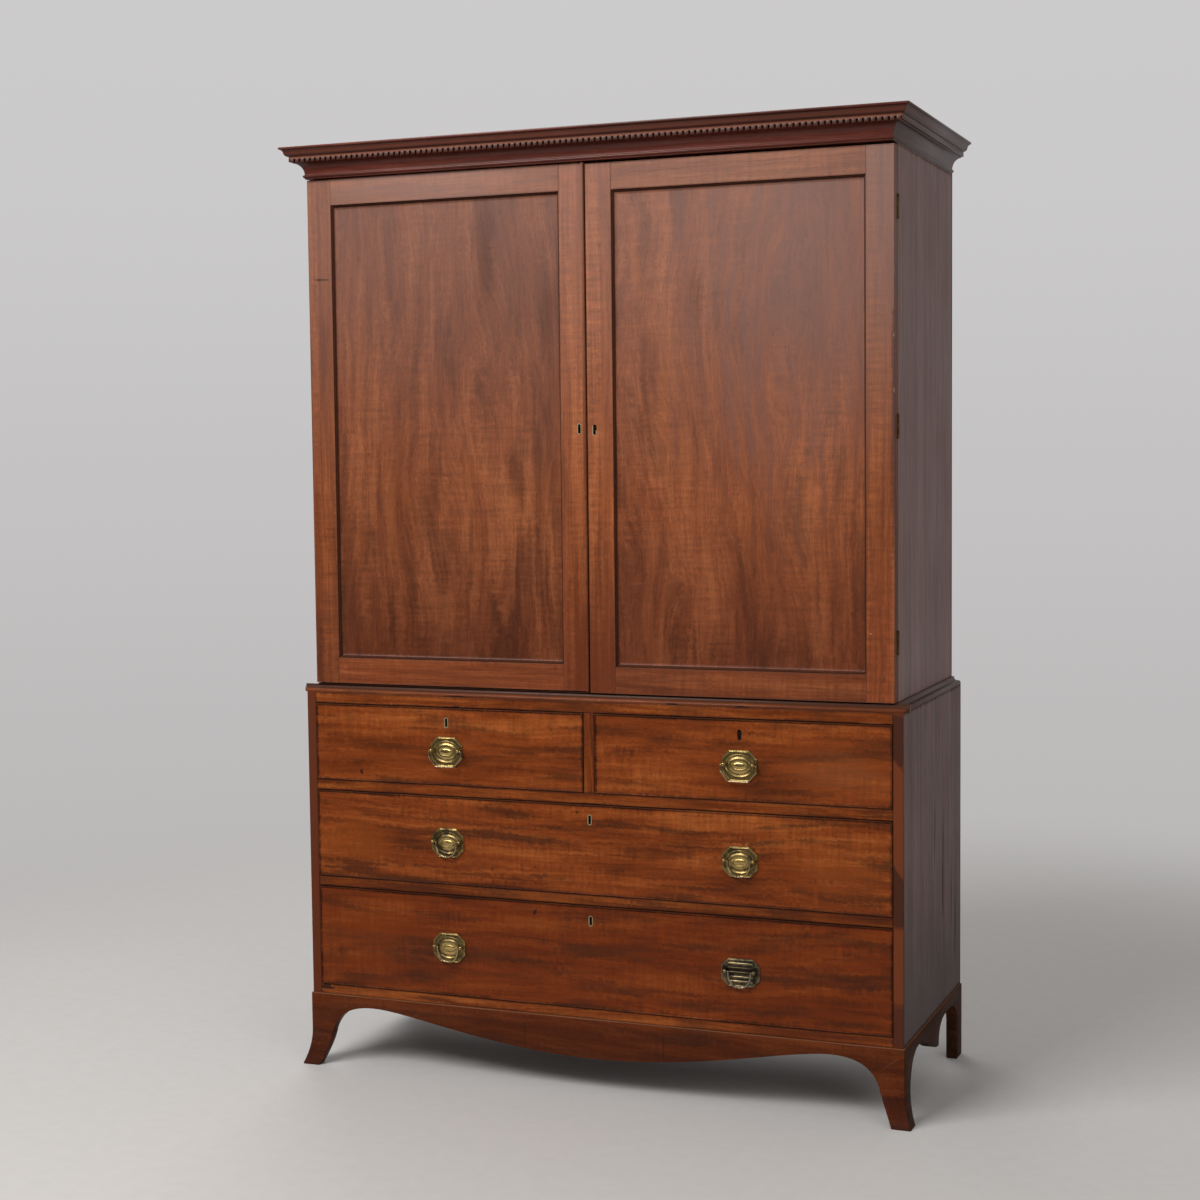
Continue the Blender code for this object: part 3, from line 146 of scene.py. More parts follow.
class NodeBench:
    """Lays the nodes of one tree, so that a finish reads as a recipe."""

    def __init__(self, owner: Union[Finish, bpy.types.World], place: str) -> None:
        """Clear the owner's tree and take its coordinates of one kind.

        Args:
            owner: material or world whose tree it is
            place: kind of coordinates
        """
        owner.use_nodes = True
        self.tree = owner.node_tree
        self.tree.nodes.clear()
        self.place = self.node("TexCoord", {}, place)

    def feed(self, socket: Socket, value: Union[Value, Paint]) -> None:
        """Link a socket to another, or set its own value.

        Args:
            socket: the input
            value: a socket, a number or a colour
        """
        if isinstance(value, Socket):
            self.tree.links.new(value, socket)
        elif socket.type == "RGBA":
            socket.default_value = (*value, 1.0)
        else:
            socket.default_value = value

    def node(self, kind: str, feeds: dict[Union[int, str], object], out: Union[int, str] = 0,
             **settings: object) -> Socket:
        """Add a node.

        Args:
            kind: its type
            feeds: values of its inputs, or sockets to link them to
            out: the output that is wanted
            settings: its own settings

        Returns:
            That output.
        """
        node = self.tree.nodes.new("ShaderNode" + kind)
        for name, value in settings.items():
            setattr(node, name, value)
        for name, value in feeds.items():
            self.feed(node.inputs[name], value)
        return node.outputs[out]

    def math(self, operation: str, first: Value, second: Value = 0.0, clamp: bool = False) -> Value:
        """One arithmetic step."""
        return self.node("Math", {0: first, 1: second}, operation=operation, use_clamp=clamp)

    def vector(self, operation: str, first: Value, second: Union[Value, Point]) -> Value:
        """One step of vector arithmetic."""
        out = "Value" if operation == "LENGTH" else "Vector"
        return self.node("VectorMath", {0: first, 1: second}, out, operation=operation)

    def axes(self, vector: Value) -> tuple[Value, Value, Value]:
        """The three parts of a vector."""
        return tuple(self.node("SeparateXYZ", {0: vector}).node.outputs)

    def mapped(self, kind: str, vector: Value, shift: Point, turn: Point, scale: Point) -> Value:
        """Coordinates shifted, turned and scaled by a Mapping node.

        Args:
            kind: POINT or TEXTURE
            vector: the coordinates
            shift: location
            turn: degrees about each axis
            scale: scale

        Returns:
            The new coordinates.
        """
        angles = [math.radians(angle) for angle in turn]
        feeds = {"Vector": vector, "Location": shift, "Rotation": angles, "Scale": scale}
        return self.node("Mapping", feeds, vector_type=kind)

    def noise(self, vector: Value, stretch: Point, detail: float = 3.0, rough: float = 0.55) -> Value:
        """Smooth noise from 0 to 1 with its own number of waves per metre along each axis."""
        place = self.mapped("POINT", vector, ORIGIN, ORIGIN, stretch)
        return self.node("TexNoise", {"Vector": place, "Scale": 1.0, "Detail": detail, "Roughness": rough})

    def wander(self, vector: Value, stretch: Point, reach: Point) -> Value:
        """Coordinates bent by slow noise, up to half of reach either way.

        Args:
            vector: the coordinates
            stretch: waves per metre
            reach: size of the bend

        Returns:
            The bent coordinates.
        """
        place = self.mapped("POINT", vector, (3.1, 7.7, 1.3), ORIGIN, stretch)
        noise = self.node("TexNoise", {"Vector": place, "Scale": 1.0, "Detail": 2.0}, "Color")
        bend = self.vector("SUBTRACT", noise, (0.5, 0.5, 0.5))
        return self.vector("ADD", vector, self.vector("MULTIPLY", bend, reach))

    def span(self, value: Value, low: float, high: float, top: Value = 1.0) -> Value:
        """0 below low, top above high, eased between them."""
        return self.node("MapRange", {"Value": value, "From Min": low, "From Max": high, "To Max": top},
                         interpolation_type="SMOOTHSTEP")

    def weighted(self, *terms: tuple[Value, float]) -> Value:
        """Sum of values, each times its weight.

        Args:
            terms: values with their weights

        Returns:
            The sum.
        """
        total: Value = 0.0
        for value, weight in terms:
            total = self.math("ADD", total, self.math("MULTIPLY", value, weight))
        return total

    def ramp(self, value: Value, stops: Sequence[tuple[float, Colour]]) -> Value:
        """Colour along a row of stops.

        Args:
            value: place along the ramp
            stops: places and colours

        Returns:
            The colour.
        """
        node = self.node("ValToRGB", {0: value}).node
        elements = node.color_ramp.elements
        while len(elements) < len(stops):
            elements.new(0.5)
        for element, (at, colour) in zip(elements, stops):
            element.position = at
            element.color = (*colour, 1.0)
        return node.outputs[0]

    def mix(self, share: Value, first: Paint, second: Paint, way: str = "MIX") -> Value:
        """Two colours mixed by a share."""
        return self.node("Mix", {0: share, 6: first, 7: second}, 2, data_type="RGBA", blend_type=way)

    def grey(self, value: Value) -> Value:
        """A number as a grey colour."""
        return self.node("CombineColor", {0: value, 1: value, 2: value})

    def rays(self, *kinds: str) -> Value:
        """1 for rays of these kinds, 0 for the others.

        Args:
            kinds: names of ray kinds

        Returns:
            The switch.
        """
        path = self.node("LightPath", {}).node
        seen = path.outputs[f"Is {kinds[0]} Ray"]
        for kind in kinds[1:]:
            seen = self.math("MAXIMUM", seen, path.outputs[f"Is {kind} Ray"])
        return seen


class Bench(NodeBench):
    """Lays the nodes of one material round a principled shader."""

    def __init__(self, name: str) -> None:
        """Start a material of this name with a bare shader.

        Args:
            name: the material's name
        """
        self.material = bpy.data.materials.new(name)
        super().__init__(self.material, "Object")
        output = self.tree.nodes.new("ShaderNodeOutputMaterial")
        self.shader = self.tree.nodes.new("ShaderNodeBsdfPrincipled")
        self.tree.links.new(self.shader.outputs[0], output.inputs["Surface"])

    def set(self, **values: Union[Value, Paint]) -> None:
        """Feed sockets of the shader by name, with underscores for spaces."""
        for name, value in values.items():
            self.feed(self.shader.inputs[name.replace("_", " ")], value)

    def bump(self, height: Value, distance: float, strength: float = 1.0) -> None:
        """Relief of the surface, in metres."""
        relief = self.node("Bump", {"Strength": strength, "Distance": distance, "Height": height})
        self.feed(self.shader.inputs["Normal"], relief)

    def edge(self, low: Floats, high: Floats, face: Face) -> Value:
        """Distance from the nearest edge of a board's broad face.

        Args:
            low: the board's lowest corner
            high: its highest corner
            face: its broad face

        Returns:
            The distance.
        """
        parts = self.axes(self.place)
        gaps = []
        for axis in face.value:
            gaps.append(self.math("SUBTRACT", parts[axis], low[axis]))
            gaps.append(self.math("SUBTRACT", high[axis], parts[axis]))
        nearest = gaps[0]
        for gap in gaps[1:]:
            nearest = self.math("MINIMUM", nearest, gap)
        return nearest

    def crossed(self, vector: Value) -> Value:
        """Coordinates with x and y swapped on faces that look to the front or to the back.

        Args:
            vector: the coordinates

        Returns:
            The swapped coordinates.
        """
        x, y, z = self.axes(vector)
        swapped = self.node("CombineXYZ", {0: y, 1: x, 2: z})
        normal = self.node("TexCoord", {}, "Normal")
        facing = self.math("GREATER_THAN", self.math("ABSOLUTE", self.axes(normal)[1]), 0.7)
        return self.node("Mix", {0: facing, 4: vector, 5: swapped}, 1, data_type="VECTOR")

    def inside(self, mark: Mark, break_up: Value) -> Value:
        """Share of a mark at each point, its edge broken up by a noise.

        Args:
            mark: the mark
            break_up: the noise

        Returns:
            The share.
        """
        half = tuple(size / 2 for size in mark.size)
        local = self.mapped("TEXTURE", self.place, mark.centre, mark.turn(), half)
        if mark.square:
            parts = [self.math("ABSOLUTE", part) for part in self.axes(local)]
            reach = self.math("MAXIMUM", self.math("MAXIMUM", parts[0], parts[1]), parts[2])
        else:
            reach = self.vector("LENGTH", local, ORIGIN)
        rag = self.math("MULTIPLY", self.math("SUBTRACT", break_up, 0.5), 5 * mark.ragged)
        faded = self.span(self.math("ADD", reach, rag), 1.0 - mark.soft, 1.0, mark.strength)
        return self.math("SUBTRACT", mark.strength, faded)

    def marked(self, colour: Value, marks: Sequence[Mark], break_up: Value) -> Value:
        """A colour with marks laid on it.

        Args:
            colour: colour of the board
            marks: the marks, lowest first
            break_up: noise for their edges

        Returns:
            The new colour.
        """
        for mark in marks:
            colour = self.mix(self.inside(mark, break_up), colour, mark.colour)
        return colour


@dataclass(frozen=True)
class Board:
    """One board to be dressed: its box, its broad face, the marks on it and how light it is in its set."""

    name: str
    face: Face = Face.FRONT
    marks: tuple[Mark, ...] = ()
    lift: float = 1.0

    def corners(self) -> tuple[Vector, Vector]:
        """Lowest and highest corner."""
        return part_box(self.name)

    def drift(self) -> Point:
        """A shift of the grain that belongs to this board alone."""
        code = zlib.crc32(self.name.encode())
        return tuple(((code >> shift) % 997) / 100 for shift in (0, 8, 16))

    def lean(self) -> float:
        """Slope of its grain, in degrees."""
        return (zlib.crc32(self.name.encode()[::-1]) % 200 - 100) / 100


@dataclass(frozen=True)
class Wood:
    """A wood finish, built from streaks, fibres, smoky figure, ripple across the grain, soiling and painted
    shade along the edges, wear, and, where set, painted sheen high up and painted shade low down.
    """

    name: str
    dark: Colour
    middle: Colour
    light: Colour
    grain: Grain
    deep: Colour = (0.050, 0.0150, 0.0055)  # colour of the smoky figure, and of soiling and painted shade
    streak: Pair = (0.45, 0.022)  # length and width of a streak
    smoke: float = 0.5  # strength of the smoky figure
    smoke_size: Pair = (0.30, 0.028)
    smoke_cut: Pair = (0.50, 0.68)
    ripple: float = 0.25  # strength of the bands across the grain
    ripple_pitch: float = 0.010
    jag: float = 0.014  # how far the ripple breaks up the streaks
    fibre: float = 0.20  # share of fine fibres in the tone
    contrast: float = 1.4
    wander: float = 0.05
    roughness: float = 0.38
    coat: float = 0.08
    specular: float = 0.32
    grime_and_shade: float = 0.55  # soiling and painted shade along the edges
    grime_and_shade_width: float = 0.009
    wear: float = 0.25  # pale rubbed edges
    bloom_and_sheen: Point = (0.0, 0.0, 0.0)  # greyer high up, a faded polish with painted sheen: strength, and heights where it starts and is full
    bloom_and_sheen_colour: Colour = (0.228, 0.135, 0.111)
    low_shade: Point = (0.0, 0.0, 0.0)  # painted shade, darker low down: strength, and heights where it is full and ends
    boxed: bool = False  # a box, whose front and back run across its sides

    def material(self, board: Board) -> Finish:
        """Finish for one board.

        Args:
            board: the board, whose name sets the run of the grain

        Returns:
            A material on Object coordinates.
        """
        bench = Bench(f"{self.name}_{board.name}")
        calm, flow, streaks, broad = self.figure(bench, board)
        fibres = bench.noise(calm, self.grain.stretch(*FIBRE_WAVES), 3.0, 0.7)
        pores = bench.span(bench.noise(calm, self.grain.stretch(*PORE_WAVES), 1.0), *PORE_CUT)
        first, second = (share * (1 - self.fibre) for share in TONE_SHARES)
        tone = bench.weighted((streaks, first), (broad, second), (fibres, self.fibre))
        colour = self.colour(bench, flow, tone, broad)
        colour = bench.mix(bench.math("MULTIPLY", pores, PORE_SHADE), colour, self.deep)
        colour = bench.mix(1.0, colour, (board.lift,) * 3, "MULTIPLY")
        colour, dirt_and_shade = self.edges(bench, board, colour, streaks)
        colour = bench.marked(colour, board.marks, streaks)
        for mark in board.marks:
            if mark.dull:
                dirt_and_shade = bench.math("MAXIMUM", dirt_and_shade, bench.inside(mark, streaks))
        self.polish(bench, colour, bench.weighted((fibres, 1.0), (pores, -0.8)), dirt_and_shade)
        return bench.material

    def figure(self, bench: Bench, board: Board) -> tuple[Value, Value, Value, Value]:
        """Grain coordinates of a board, calm and broken by the ripple, its streaks and its broad bands.

        Args:
            bench: where the nodes go
            board: the board

        Returns:
            Calm coordinates, broken ones, streaks and bands.
        """
        normal = ({0, 1, 2} - set(board.face.value)).pop()
        turn = tuple(board.lean() if axis == normal else 0.0 for axis in range(3))
        place = bench.crossed(bench.place) if self.boxed else bench.place
        place = bench.mapped("POINT", place, board.drift(), turn, (1, 1, 1))
        calm = bench.wander(place, self.grain.stretch(*BEND_WAVES), self.grain.stretch(0.0, self.wander))
        flow = bench.wander(calm, self.grain.stretch(1 / self.ripple_pitch, JAG_WAVES),
                            self.grain.stretch(0.0, self.jag))
        length, width = self.streak
        streaks = bench.noise(flow, self.grain.stretch(1 / length, 1 / width), 6.0, 0.66)
        along, across = BROAD_WAVES
        broad = bench.noise(flow, self.grain.stretch(along / length, across / width), 2.0)
        return calm, flow, streaks, broad

    def colour(self, bench: Bench, flow: Value, tone: Value, broad: Value) -> Value:
        """Colour of the clean wood, greyer high up with a faded polish and painted sheen, darker low down
        with painted shade.

        Args:
            bench: where the nodes go
            flow: grain coordinates
            tone: mix of streaks and fibres
            broad: broad bands, which also say where the ripple shows

        Returns:
            The colour.
        """
        reach = 0.20 / self.contrast
        colour = bench.ramp(tone, ((0.5 - reach, self.dark), (0.5, self.middle), (0.5 + reach, self.light)))
        length, width = self.smoke_size
        smoke = bench.noise(flow, self.grain.stretch(1 / length, 1 / width), 4.0, 0.58)
        colour = bench.mix(bench.span(smoke, *self.smoke_cut, top=self.smoke), colour, self.deep)
        pitch = self.ripple_pitch
        waves = bench.noise(flow, self.grain.stretch(1 / pitch, 0.13 / pitch), 2.0, 0.65)
        waves = bench.math("MULTIPLY", bench.math("SUBTRACT", waves, 0.5),
                           bench.span(broad, *RIPPLE_CUT, 2 * self.ripple))
        colour = bench.mix(1.0, colour, bench.grey(bench.math("ADD", waves, 1.0)), "MULTIPLY")
        height = bench.axes(bench.place)[2]
        # faded polish with painted sheen: greyer high up
        strength, start, full = self.bloom_and_sheen
        if strength:
            colour = bench.mix(bench.span(height, start, full, strength), colour, self.bloom_and_sheen_colour)
        # painted shade: darker and redder low down
        strength, full, end = self.low_shade
        if strength:
            shadow = tuple(part * (1.0 - strength) for part in LOW_SHADE_TINT)
            lit = bench.mix(bench.span(height, full, end), shadow, WHITE)
            colour = bench.mix(1.0, colour, lit, "MULTIPLY")
        return colour

    def edges(self, bench: Bench, board: Board, colour: Value, streaks: Value) -> tuple[Value, Value]:
        """Soiling with painted shade, and rubbing, along the edges of a board's broad face.

        Args:
            bench: where the nodes go
            board: the board
            colour: colour of the clean wood
            streaks: noise that makes the soiling and painted shade uneven

        Returns:
            The colour and the share of soiling and painted shade.
        """
        near = bench.edge(*board.corners(), board.face)
        uneven = bench.math("MULTIPLY", bench.math("SUBTRACT", streaks, 0.5), 2 * self.grime_and_shade_width)
        # soiling with painted shade: each board darkens towards the edges of its broad face
        dirt_and_shade = bench.math("SUBTRACT", self.grime_and_shade,
                          bench.span(bench.math("ADD", near, uneven), 0.0, self.grime_and_shade_width, self.grime_and_shade))
        colour = bench.mix(dirt_and_shade, colour, tuple(GRIME_AND_SHADE_TONE * part for part in self.deep))
        rubbed = bench.math("SUBTRACT", self.wear, bench.span(near, *RUBBED_RIM, self.wear))
        return bench.mix(rubbed, colour, tuple(RUBBED_LIGHT * part for part in self.light)), dirt_and_shade

    def polish(self, bench: Bench, colour: Value, fibres: Value, dirt_and_shade: Value) -> None:
        """Set the shader: colour, gloss that varies, and the relief of the pores.

        Args:
            bench: where the nodes go
            colour: colour of the wood
            fibres: noise along the fibres
            dirt_and_shade: share of soiling and painted shade, which is dull
        """
        patches = bench.noise(bench.place, (5.0, 5.0, 5.0), 3.0)
        gloss = bench.math("ADD", self.roughness - GLOSS_SPREAD / 2,
                           bench.math("MULTIPLY", patches, GLOSS_SPREAD))
        gloss = bench.math("ADD", gloss, bench.math("MULTIPLY", dirt_and_shade, DIRT_DULLING), clamp=True)
        bench.set(Base_Color=colour, Roughness=gloss, Specular_IOR_Level=self.specular,
                  Coat_Weight=self.coat, Coat_Roughness=0.25)
        bench.bump(fibres, GRAIN_RELIEF)


@dataclass(frozen=True)
class Brass:
    """Worked metal: rubbed bright where it stands high, dark with patina where it lies low."""

    name: str
    bright: Colour
    patina: Colour
    tarnish: float = 0.35  # share of cloudy tarnish on the high parts
    roughness: float = 0.22
    metallic: float = 1.0
    relief: Pair = (0.0, 0.0)  # levels of y that are rubbed bright and left dark
    sunk: float = 0.58  # share of patina where it lies low
    specks: float = 0.30  # share of patina in fine specks
    dulling: float = 0.22  # patina is rougher by this
    crust: float = 0.3  # and less metallic

    def material(self, drift: float = 0.0, marks: Sequence[Mark] = ()) -> Finish:
        """Finish for one piece.

        Args:
            drift: shift of its tarnish
            marks: dark or rubbed places

        Returns:
            A material on Object coordinates.
        """
        bench = Bench(self.name)
        place = bench.mapped("POINT", bench.place, (drift, 0, drift), ORIGIN, (1, 1, 1))
        clouds = bench.noise(place, CLOUD_WAVES, 4.0, 0.6)
        specks = bench.noise(place, SPECK_WAVES, 2.0, 0.6)
        share = bench.math("ADD", bench.span(clouds, *CLOUD_CUT, self.tarnish),
                           bench.span(specks, *SPECK_CUT, self.specks))
        crest, field_level = self.relief
        if field_level > crest:
            uneven = bench.weighted((bench.axes(bench.place)[1], 1.0), (clouds, field_level - crest))
            middle = (field_level - crest) / 2
            low = bench.span(uneven, crest + middle, field_level + middle, self.sunk)
            share = bench.math("ADD", share, low)
        share = bench.math("MINIMUM", share, 1.0)
        colour = bench.marked(bench.mix(share, self.bright, self.patina), marks, clouds)
        gloss = bench.math("ADD", self.roughness, bench.math("MULTIPLY", share, self.dulling))
        bare = bench.math("SUBTRACT", 1.0, bench.math("MULTIPLY", share, self.crust))
        metal = bench.math("MULTIPLY", self.metallic, bare)
        bench.set(Base_Color=colour, Roughness=gloss, Metallic=metal)
        bench.bump(bench.math("ADD", specks, clouds), METAL_RELIEF)
        return bench.material


MAHOGANY_DARK: Colour = (0.118, 0.0225, 0.0044)
MAHOGANY: Colour = (0.232, 0.0485, 0.0088)
MAHOGANY_LIGHT: Colour = (0.360, 0.0950, 0.0200)
SMOKE: Colour = (0.058, 0.0150, 0.0050)
INK: Colour = (0.012, 0.006, 0.004)
SOOT: Colour = (0.040, 0.031, 0.016)
HONEY: Colour = (0.34, 0.108, 0.029)
CREAM: Colour = (0.40, 0.27, 0.17)
ASH: Colour = (0.265, 0.165, 0.142)
GILT: Colour = (0.66, 0.46, 0.165)

BEND_WAVES = (1.5, 5.0)  # waves per metre along and across the grain
FIBRE_WAVES = (11.0, 330.0)
PORE_WAVES = (55.0, 950.0)
JAG_WAVES = 16.0  # across the grain alone
BROAD_WAVES = (0.5, 0.22)  # waves of the broad bands for one wave of the streaks
TONE_SHARES = (0.58, 0.42)  # streaks and broad bands in the tone
PORE_CUT = (0.60, 0.74)  # level of the noise where a pore starts and is full
RIPPLE_CUT = (0.34, 0.58)  # level of the broad bands where the ripple starts and is full
PORE_SHADE, GRIME_AND_SHADE_TONE, RUBBED_LIGHT = 0.35, 0.6, 1.2  # dark in a pore, tones of soiling with painted shade and of rubbed edges
RUBBED_RIM = (0.0002, 0.0014)  # distances from an edge between which it is rubbed pale
GLOSS_SPREAD, DIRT_DULLING = 0.18, 0.9  # of the roughness
CLOUD_WAVES, SPECK_WAVES = (75.0,) * 3, (520.0,) * 3
CLOUD_CUT, SPECK_CUT = (0.36, 0.66), (0.56, 0.74)
GRAIN_RELIEF, METAL_RELIEF = 0.00009, 0.00004
LOW_SHADE_TINT: Colour = (1.0, 0.90, 0.90)  # painted shade: the foot of a door is darker and redder
WHITE: Colour = (1.0, 1.0, 1.0)

DRAWER_WOOD = Wood(
    "drawer_mahogany", MAHOGANY_DARK, MAHOGANY, MAHOGANY_LIGHT, Grain.ACROSS, streak=(0.19, 0.015),
    smoke=0.56, smoke_size=(0.20, 0.024), smoke_cut=(0.49, 0.68), ripple=0.45, ripple_pitch=0.009,
    jag=0.011, fibre=0.16, contrast=1.45, grime_and_shade=0.84, grime_and_shade_width=0.0075, wear=0.0, wander=0.06,
    specular=0.14, coat=0.05)
MIDDLE_DRAWER_WOOD = replace(
    DRAWER_WOOD, name="middle_drawer_mahogany", smoke=0.74, smoke_size=(0.22, 0.020), contrast=1.7)
LOW_DRAWER_WOOD = replace(
    DRAWER_WOOD, name="low_drawer_mahogany", dark=(0.088, 0.0145, 0.0024), middle=(0.168, 0.0298, 0.0042),
    light=(0.252, 0.0560, 0.0090), smoke=0.70, smoke_size=(0.26, 0.030), contrast=1.4, ripple=0.36)
RAIL_WOOD = replace(
    DRAWER_WOOD, name="rail_mahogany", dark=(0.100, 0.0190, 0.0036), middle=(0.196, 0.0410, 0.0072),
    light=(0.312, 0.0820, 0.0160), smoke=0.42, smoke_size=(0.14, 0.05), grime_and_shade=0.6, grime_and_shade_width=0.0045,
    ripple=0.25, jag=0.006, streak=(0.22, 0.008), contrast=1.8)
UPRIGHT_WOOD = replace(RAIL_WOOD, name="upright_mahogany", grain=Grain.UPRIGHT)
STILE_WOOD = Wood(
    "stile_mahogany", (0.150, 0.0350, 0.0100), (0.256, 0.0680, 0.0195), (0.380, 0.1170, 0.0365),
    Grain.UPRIGHT, streak=(0.4, 0.008), smoke=0.34, smoke_size=(0.3, 0.016), ripple=0.62,
    ripple_pitch=0.009, jag=0.007, fibre=0.26, contrast=1.35, grime_and_shade=0.40, grime_and_shade_width=0.0035, wear=0.12,
    wander=0.02, bloom_and_sheen=(0.36, 1.15, 1.85), low_shade=(0.34, 0.85, 1.30))
BEAD_WOOD = replace(STILE_WOOD, name="bead", grime_and_shade=0.0)
# the faded hinge stile takes less painted shade low down
FADED_STILE_WOOD = replace(STILE_WOOD, name="faded_stile_mahogany", low_shade=(0.06, 0.85, 1.30))
DOOR_RAIL_WOOD = replace(
    STILE_WOOD, name="door_rail_mahogany", grain=Grain.ACROSS, streak=(0.3, 0.010), smoke=0.3,
    smoke_size=(0.25, 0.03), ripple=0.40, contrast=1.8, low_shade=(0.20, 0.85, 1.30))
PANEL_WOOD = Wood(
    "panel_mahogany", (0.132, 0.0325, 0.0118), (0.236, 0.0635, 0.0212), (0.356, 0.1110, 0.0390),
    Grain.UPRIGHT, streak=(0.30, 0.018), smoke=0.46, smoke_size=(0.24, 0.034), smoke_cut=(0.48, 0.72),
    ripple=0.35, ripple_pitch=0.0085, jag=0.013, fibre=0.26, contrast=1.6, grime_and_shade=0.45, grime_and_shade_width=0.013,
    wear=0.0, wander=0.16, bloom_and_sheen=(0.40, 1.15, 1.85), low_shade=(0.34, 0.85, 1.30), specular=0.28, coat=0.0)
CORNICE_WOOD = Wood(
    "cornice_mahogany", (0.060, 0.0125, 0.0078), (0.118, 0.0258, 0.0158), (0.190, 0.0500, 0.0310),
    Grain.ACROSS, streak=(0.35, 0.010), smoke=0.5, smoke_size=(0.3, 0.03), ripple=0.1, jag=0.004, grime_and_shade=0.0,
    wear=0.0, roughness=0.36)
RETURN_WOOD = replace(
    CORNICE_WOOD, name="return_mahogany", grain=Grain.DEEP, dark=(0.045, 0.016, 0.010),
    middle=(0.090, 0.034, 0.021), light=(0.150, 0.064, 0.042))
WAIST_WOOD = replace(
    RAIL_WOOD, name="waist_mahogany", dark=(0.108, 0.0225, 0.0048), middle=(0.152, 0.0345, 0.0078),
    light=(0.246, 0.0650, 0.0156), grime_and_shade=0.0, wear=0.0)
BASE_WOOD = replace(
    DRAWER_WOOD, name="base_mahogany", dark=(0.056, 0.0105, 0.0024), middle=(0.106, 0.0205, 0.0044),
    light=(0.176, 0.0410, 0.0090), smoke=0.6, smoke_size=(0.22, 0.018), grime_and_shade=0.35, grime_and_shade_width=0.006,
    ripple=0.2, specular=0.12)
# painted shade: the brackets are a much darker copy of the base wood
SHADED_FOOT_WOOD = replace(
    BASE_WOOD, name="bracket_mahogany", grain=Grain.DEEP, dark=(0.024, 0.0100, 0.0060),
    middle=(0.046, 0.0185, 0.0110), light=(0.080, 0.0330, 0.0200), specular=0.06, coat=0.0, roughness=0.6)
SIDE_WOOD = Wood(
    "side_mahogany", (0.122, 0.0505, 0.0370), (0.190, 0.0860, 0.0635), (0.256, 0.1270, 0.0970),
    Grain.UPRIGHT, deep=(0.060, 0.0240, 0.0165), streak=(0.5, 0.016), smoke=0.40, smoke_size=(0.40, 0.012),
    ripple=0.0, jag=0.003, fibre=0.42, contrast=2.2, grime_and_shade=0.35, grime_and_shade_width=0.008, wear=0.15, wander=0.03,
    roughness=0.43, coat=0.03)
# partly painted shade: the lower sides are a darker copy of the side wood
SHADED_LOW_SIDE_WOOD = replace(
    SIDE_WOOD, name="low_side_mahogany", dark=(0.066, 0.0245, 0.0165), middle=(0.122, 0.0490, 0.0340),
    light=(0.190, 0.0860, 0.0620), contrast=3.0, smoke=0.6, specular=0.22)
LINING_WOOD = Wood(
    "oak_lining", (0.20, 0.115, 0.055), (0.36, 0.225, 0.115), (0.47, 0.315, 0.175), Grain.DEEP,
    deep=(0.11, 0.06, 0.03), streak=(0.5, 0.014), smoke=0.25, smoke_size=(0.4, 0.02), ripple=0.0, jag=0.003,
    contrast=1.0, grime_and_shade=0.45, grime_and_shade_width=0.02, wear=0.1, roughness=0.68, coat=0.0, boxed=True)
PINE_WOOD = Wood(
    "old_pine", (0.17, 0.090, 0.042), (0.30, 0.175, 0.085), (0.40, 0.255, 0.135), Grain.UPRIGHT,
    deep=(0.09, 0.05, 0.025), streak=(0.8, 0.016), smoke=0.35, smoke_size=(0.6, 0.03), ripple=0.0,
    jag=0.003, contrast=1.0, grime_and_shade=0.5, grime_and_shade_width=0.03, wear=0.1, roughness=0.72, coat=0.0)
PINE_SHELF = replace(PINE_WOOD, name="pine_shelf", grain=Grain.ACROSS)

OLD_BRASS = Brass("old_brass", (0.47, 0.325, 0.112), (0.060, 0.038, 0.013), roughness=0.22, metallic=0.95)
DARK_BRASS = Brass(
    "bronzed_brass", (0.33, 0.25, 0.130), (0.028, 0.022, 0.018), tarnish=0.55, roughness=0.30)
RAIL_BRASS = replace(OLD_BRASS, name="rail_brass", patina=(0.26, 0.170, 0.058), roughness=0.3)
DULL_BRASS = Brass("dull_brass", (0.20, 0.150, 0.070), (0.055, 0.036, 0.019), tarnish=0.8, roughness=0.45)
PALE_BRASS = Brass(
    "pale_brass", (0.48, 0.375, 0.215), (0.20, 0.148, 0.082), tarnish=0.35, roughness=0.42, metallic=0.3)
IRON = Brass("old_iron", (0.085, 0.075, 0.068), (0.030, 0.020, 0.014), tarnish=0.8, roughness=0.5)


def fresh(name: str, add: Callable[..., object], **settings: object) -> Piece:
    """Add a primitive with nothing else selected.

    Args:
        name: the piece's name
        add: operator that adds the primitive
        settings: its size and place

    Returns:
        The new object, at the origin, with its place in its mesh.
    """
    bpy.ops.object.select_all(action="DESELECT")
    scale = settings.pop("scale", (1.0, 1.0, 1.0))
    add(**settings)
    piece = bpy.context.object
    piece.scale = scale
    piece.name = name
    piece.data.name = name
    bpy.ops.object.transform_apply(location=True, rotation=True, scale=True)
    return piece


def focus(piece: Piece) -> None:
    """Select a piece alone and make it active.

    Args:
        piece: the piece
    """
    bpy.ops.object.select_all(action="DESELECT")
    bpy.context.view_layer.objects.active = piece
    piece.select_set(True)


def block(name: str, size: Floats, at: Floats = ORIGIN) -> Piece:
    """Add a cube of a size, to be worked on."""
    return fresh(name, bpy.ops.mesh.primitive_cube_add, size=1.0, scale=size, location=at)


@contextmanager
def editing(piece: Piece, mode: str = "VERT") -> Iterator[None]:
    """Hold a piece in edit mode, with the whole of it selected at first.

    Args:
        piece: the piece
        mode: VERT, EDGE or FACE
    """
    focus(piece)
    bpy.ops.object.mode_set(mode="EDIT")
    bpy.ops.mesh.select_mode(type=mode)
    bpy.ops.mesh.select_all(action="SELECT")
    yield
    bpy.ops.object.mode_set(mode="OBJECT")


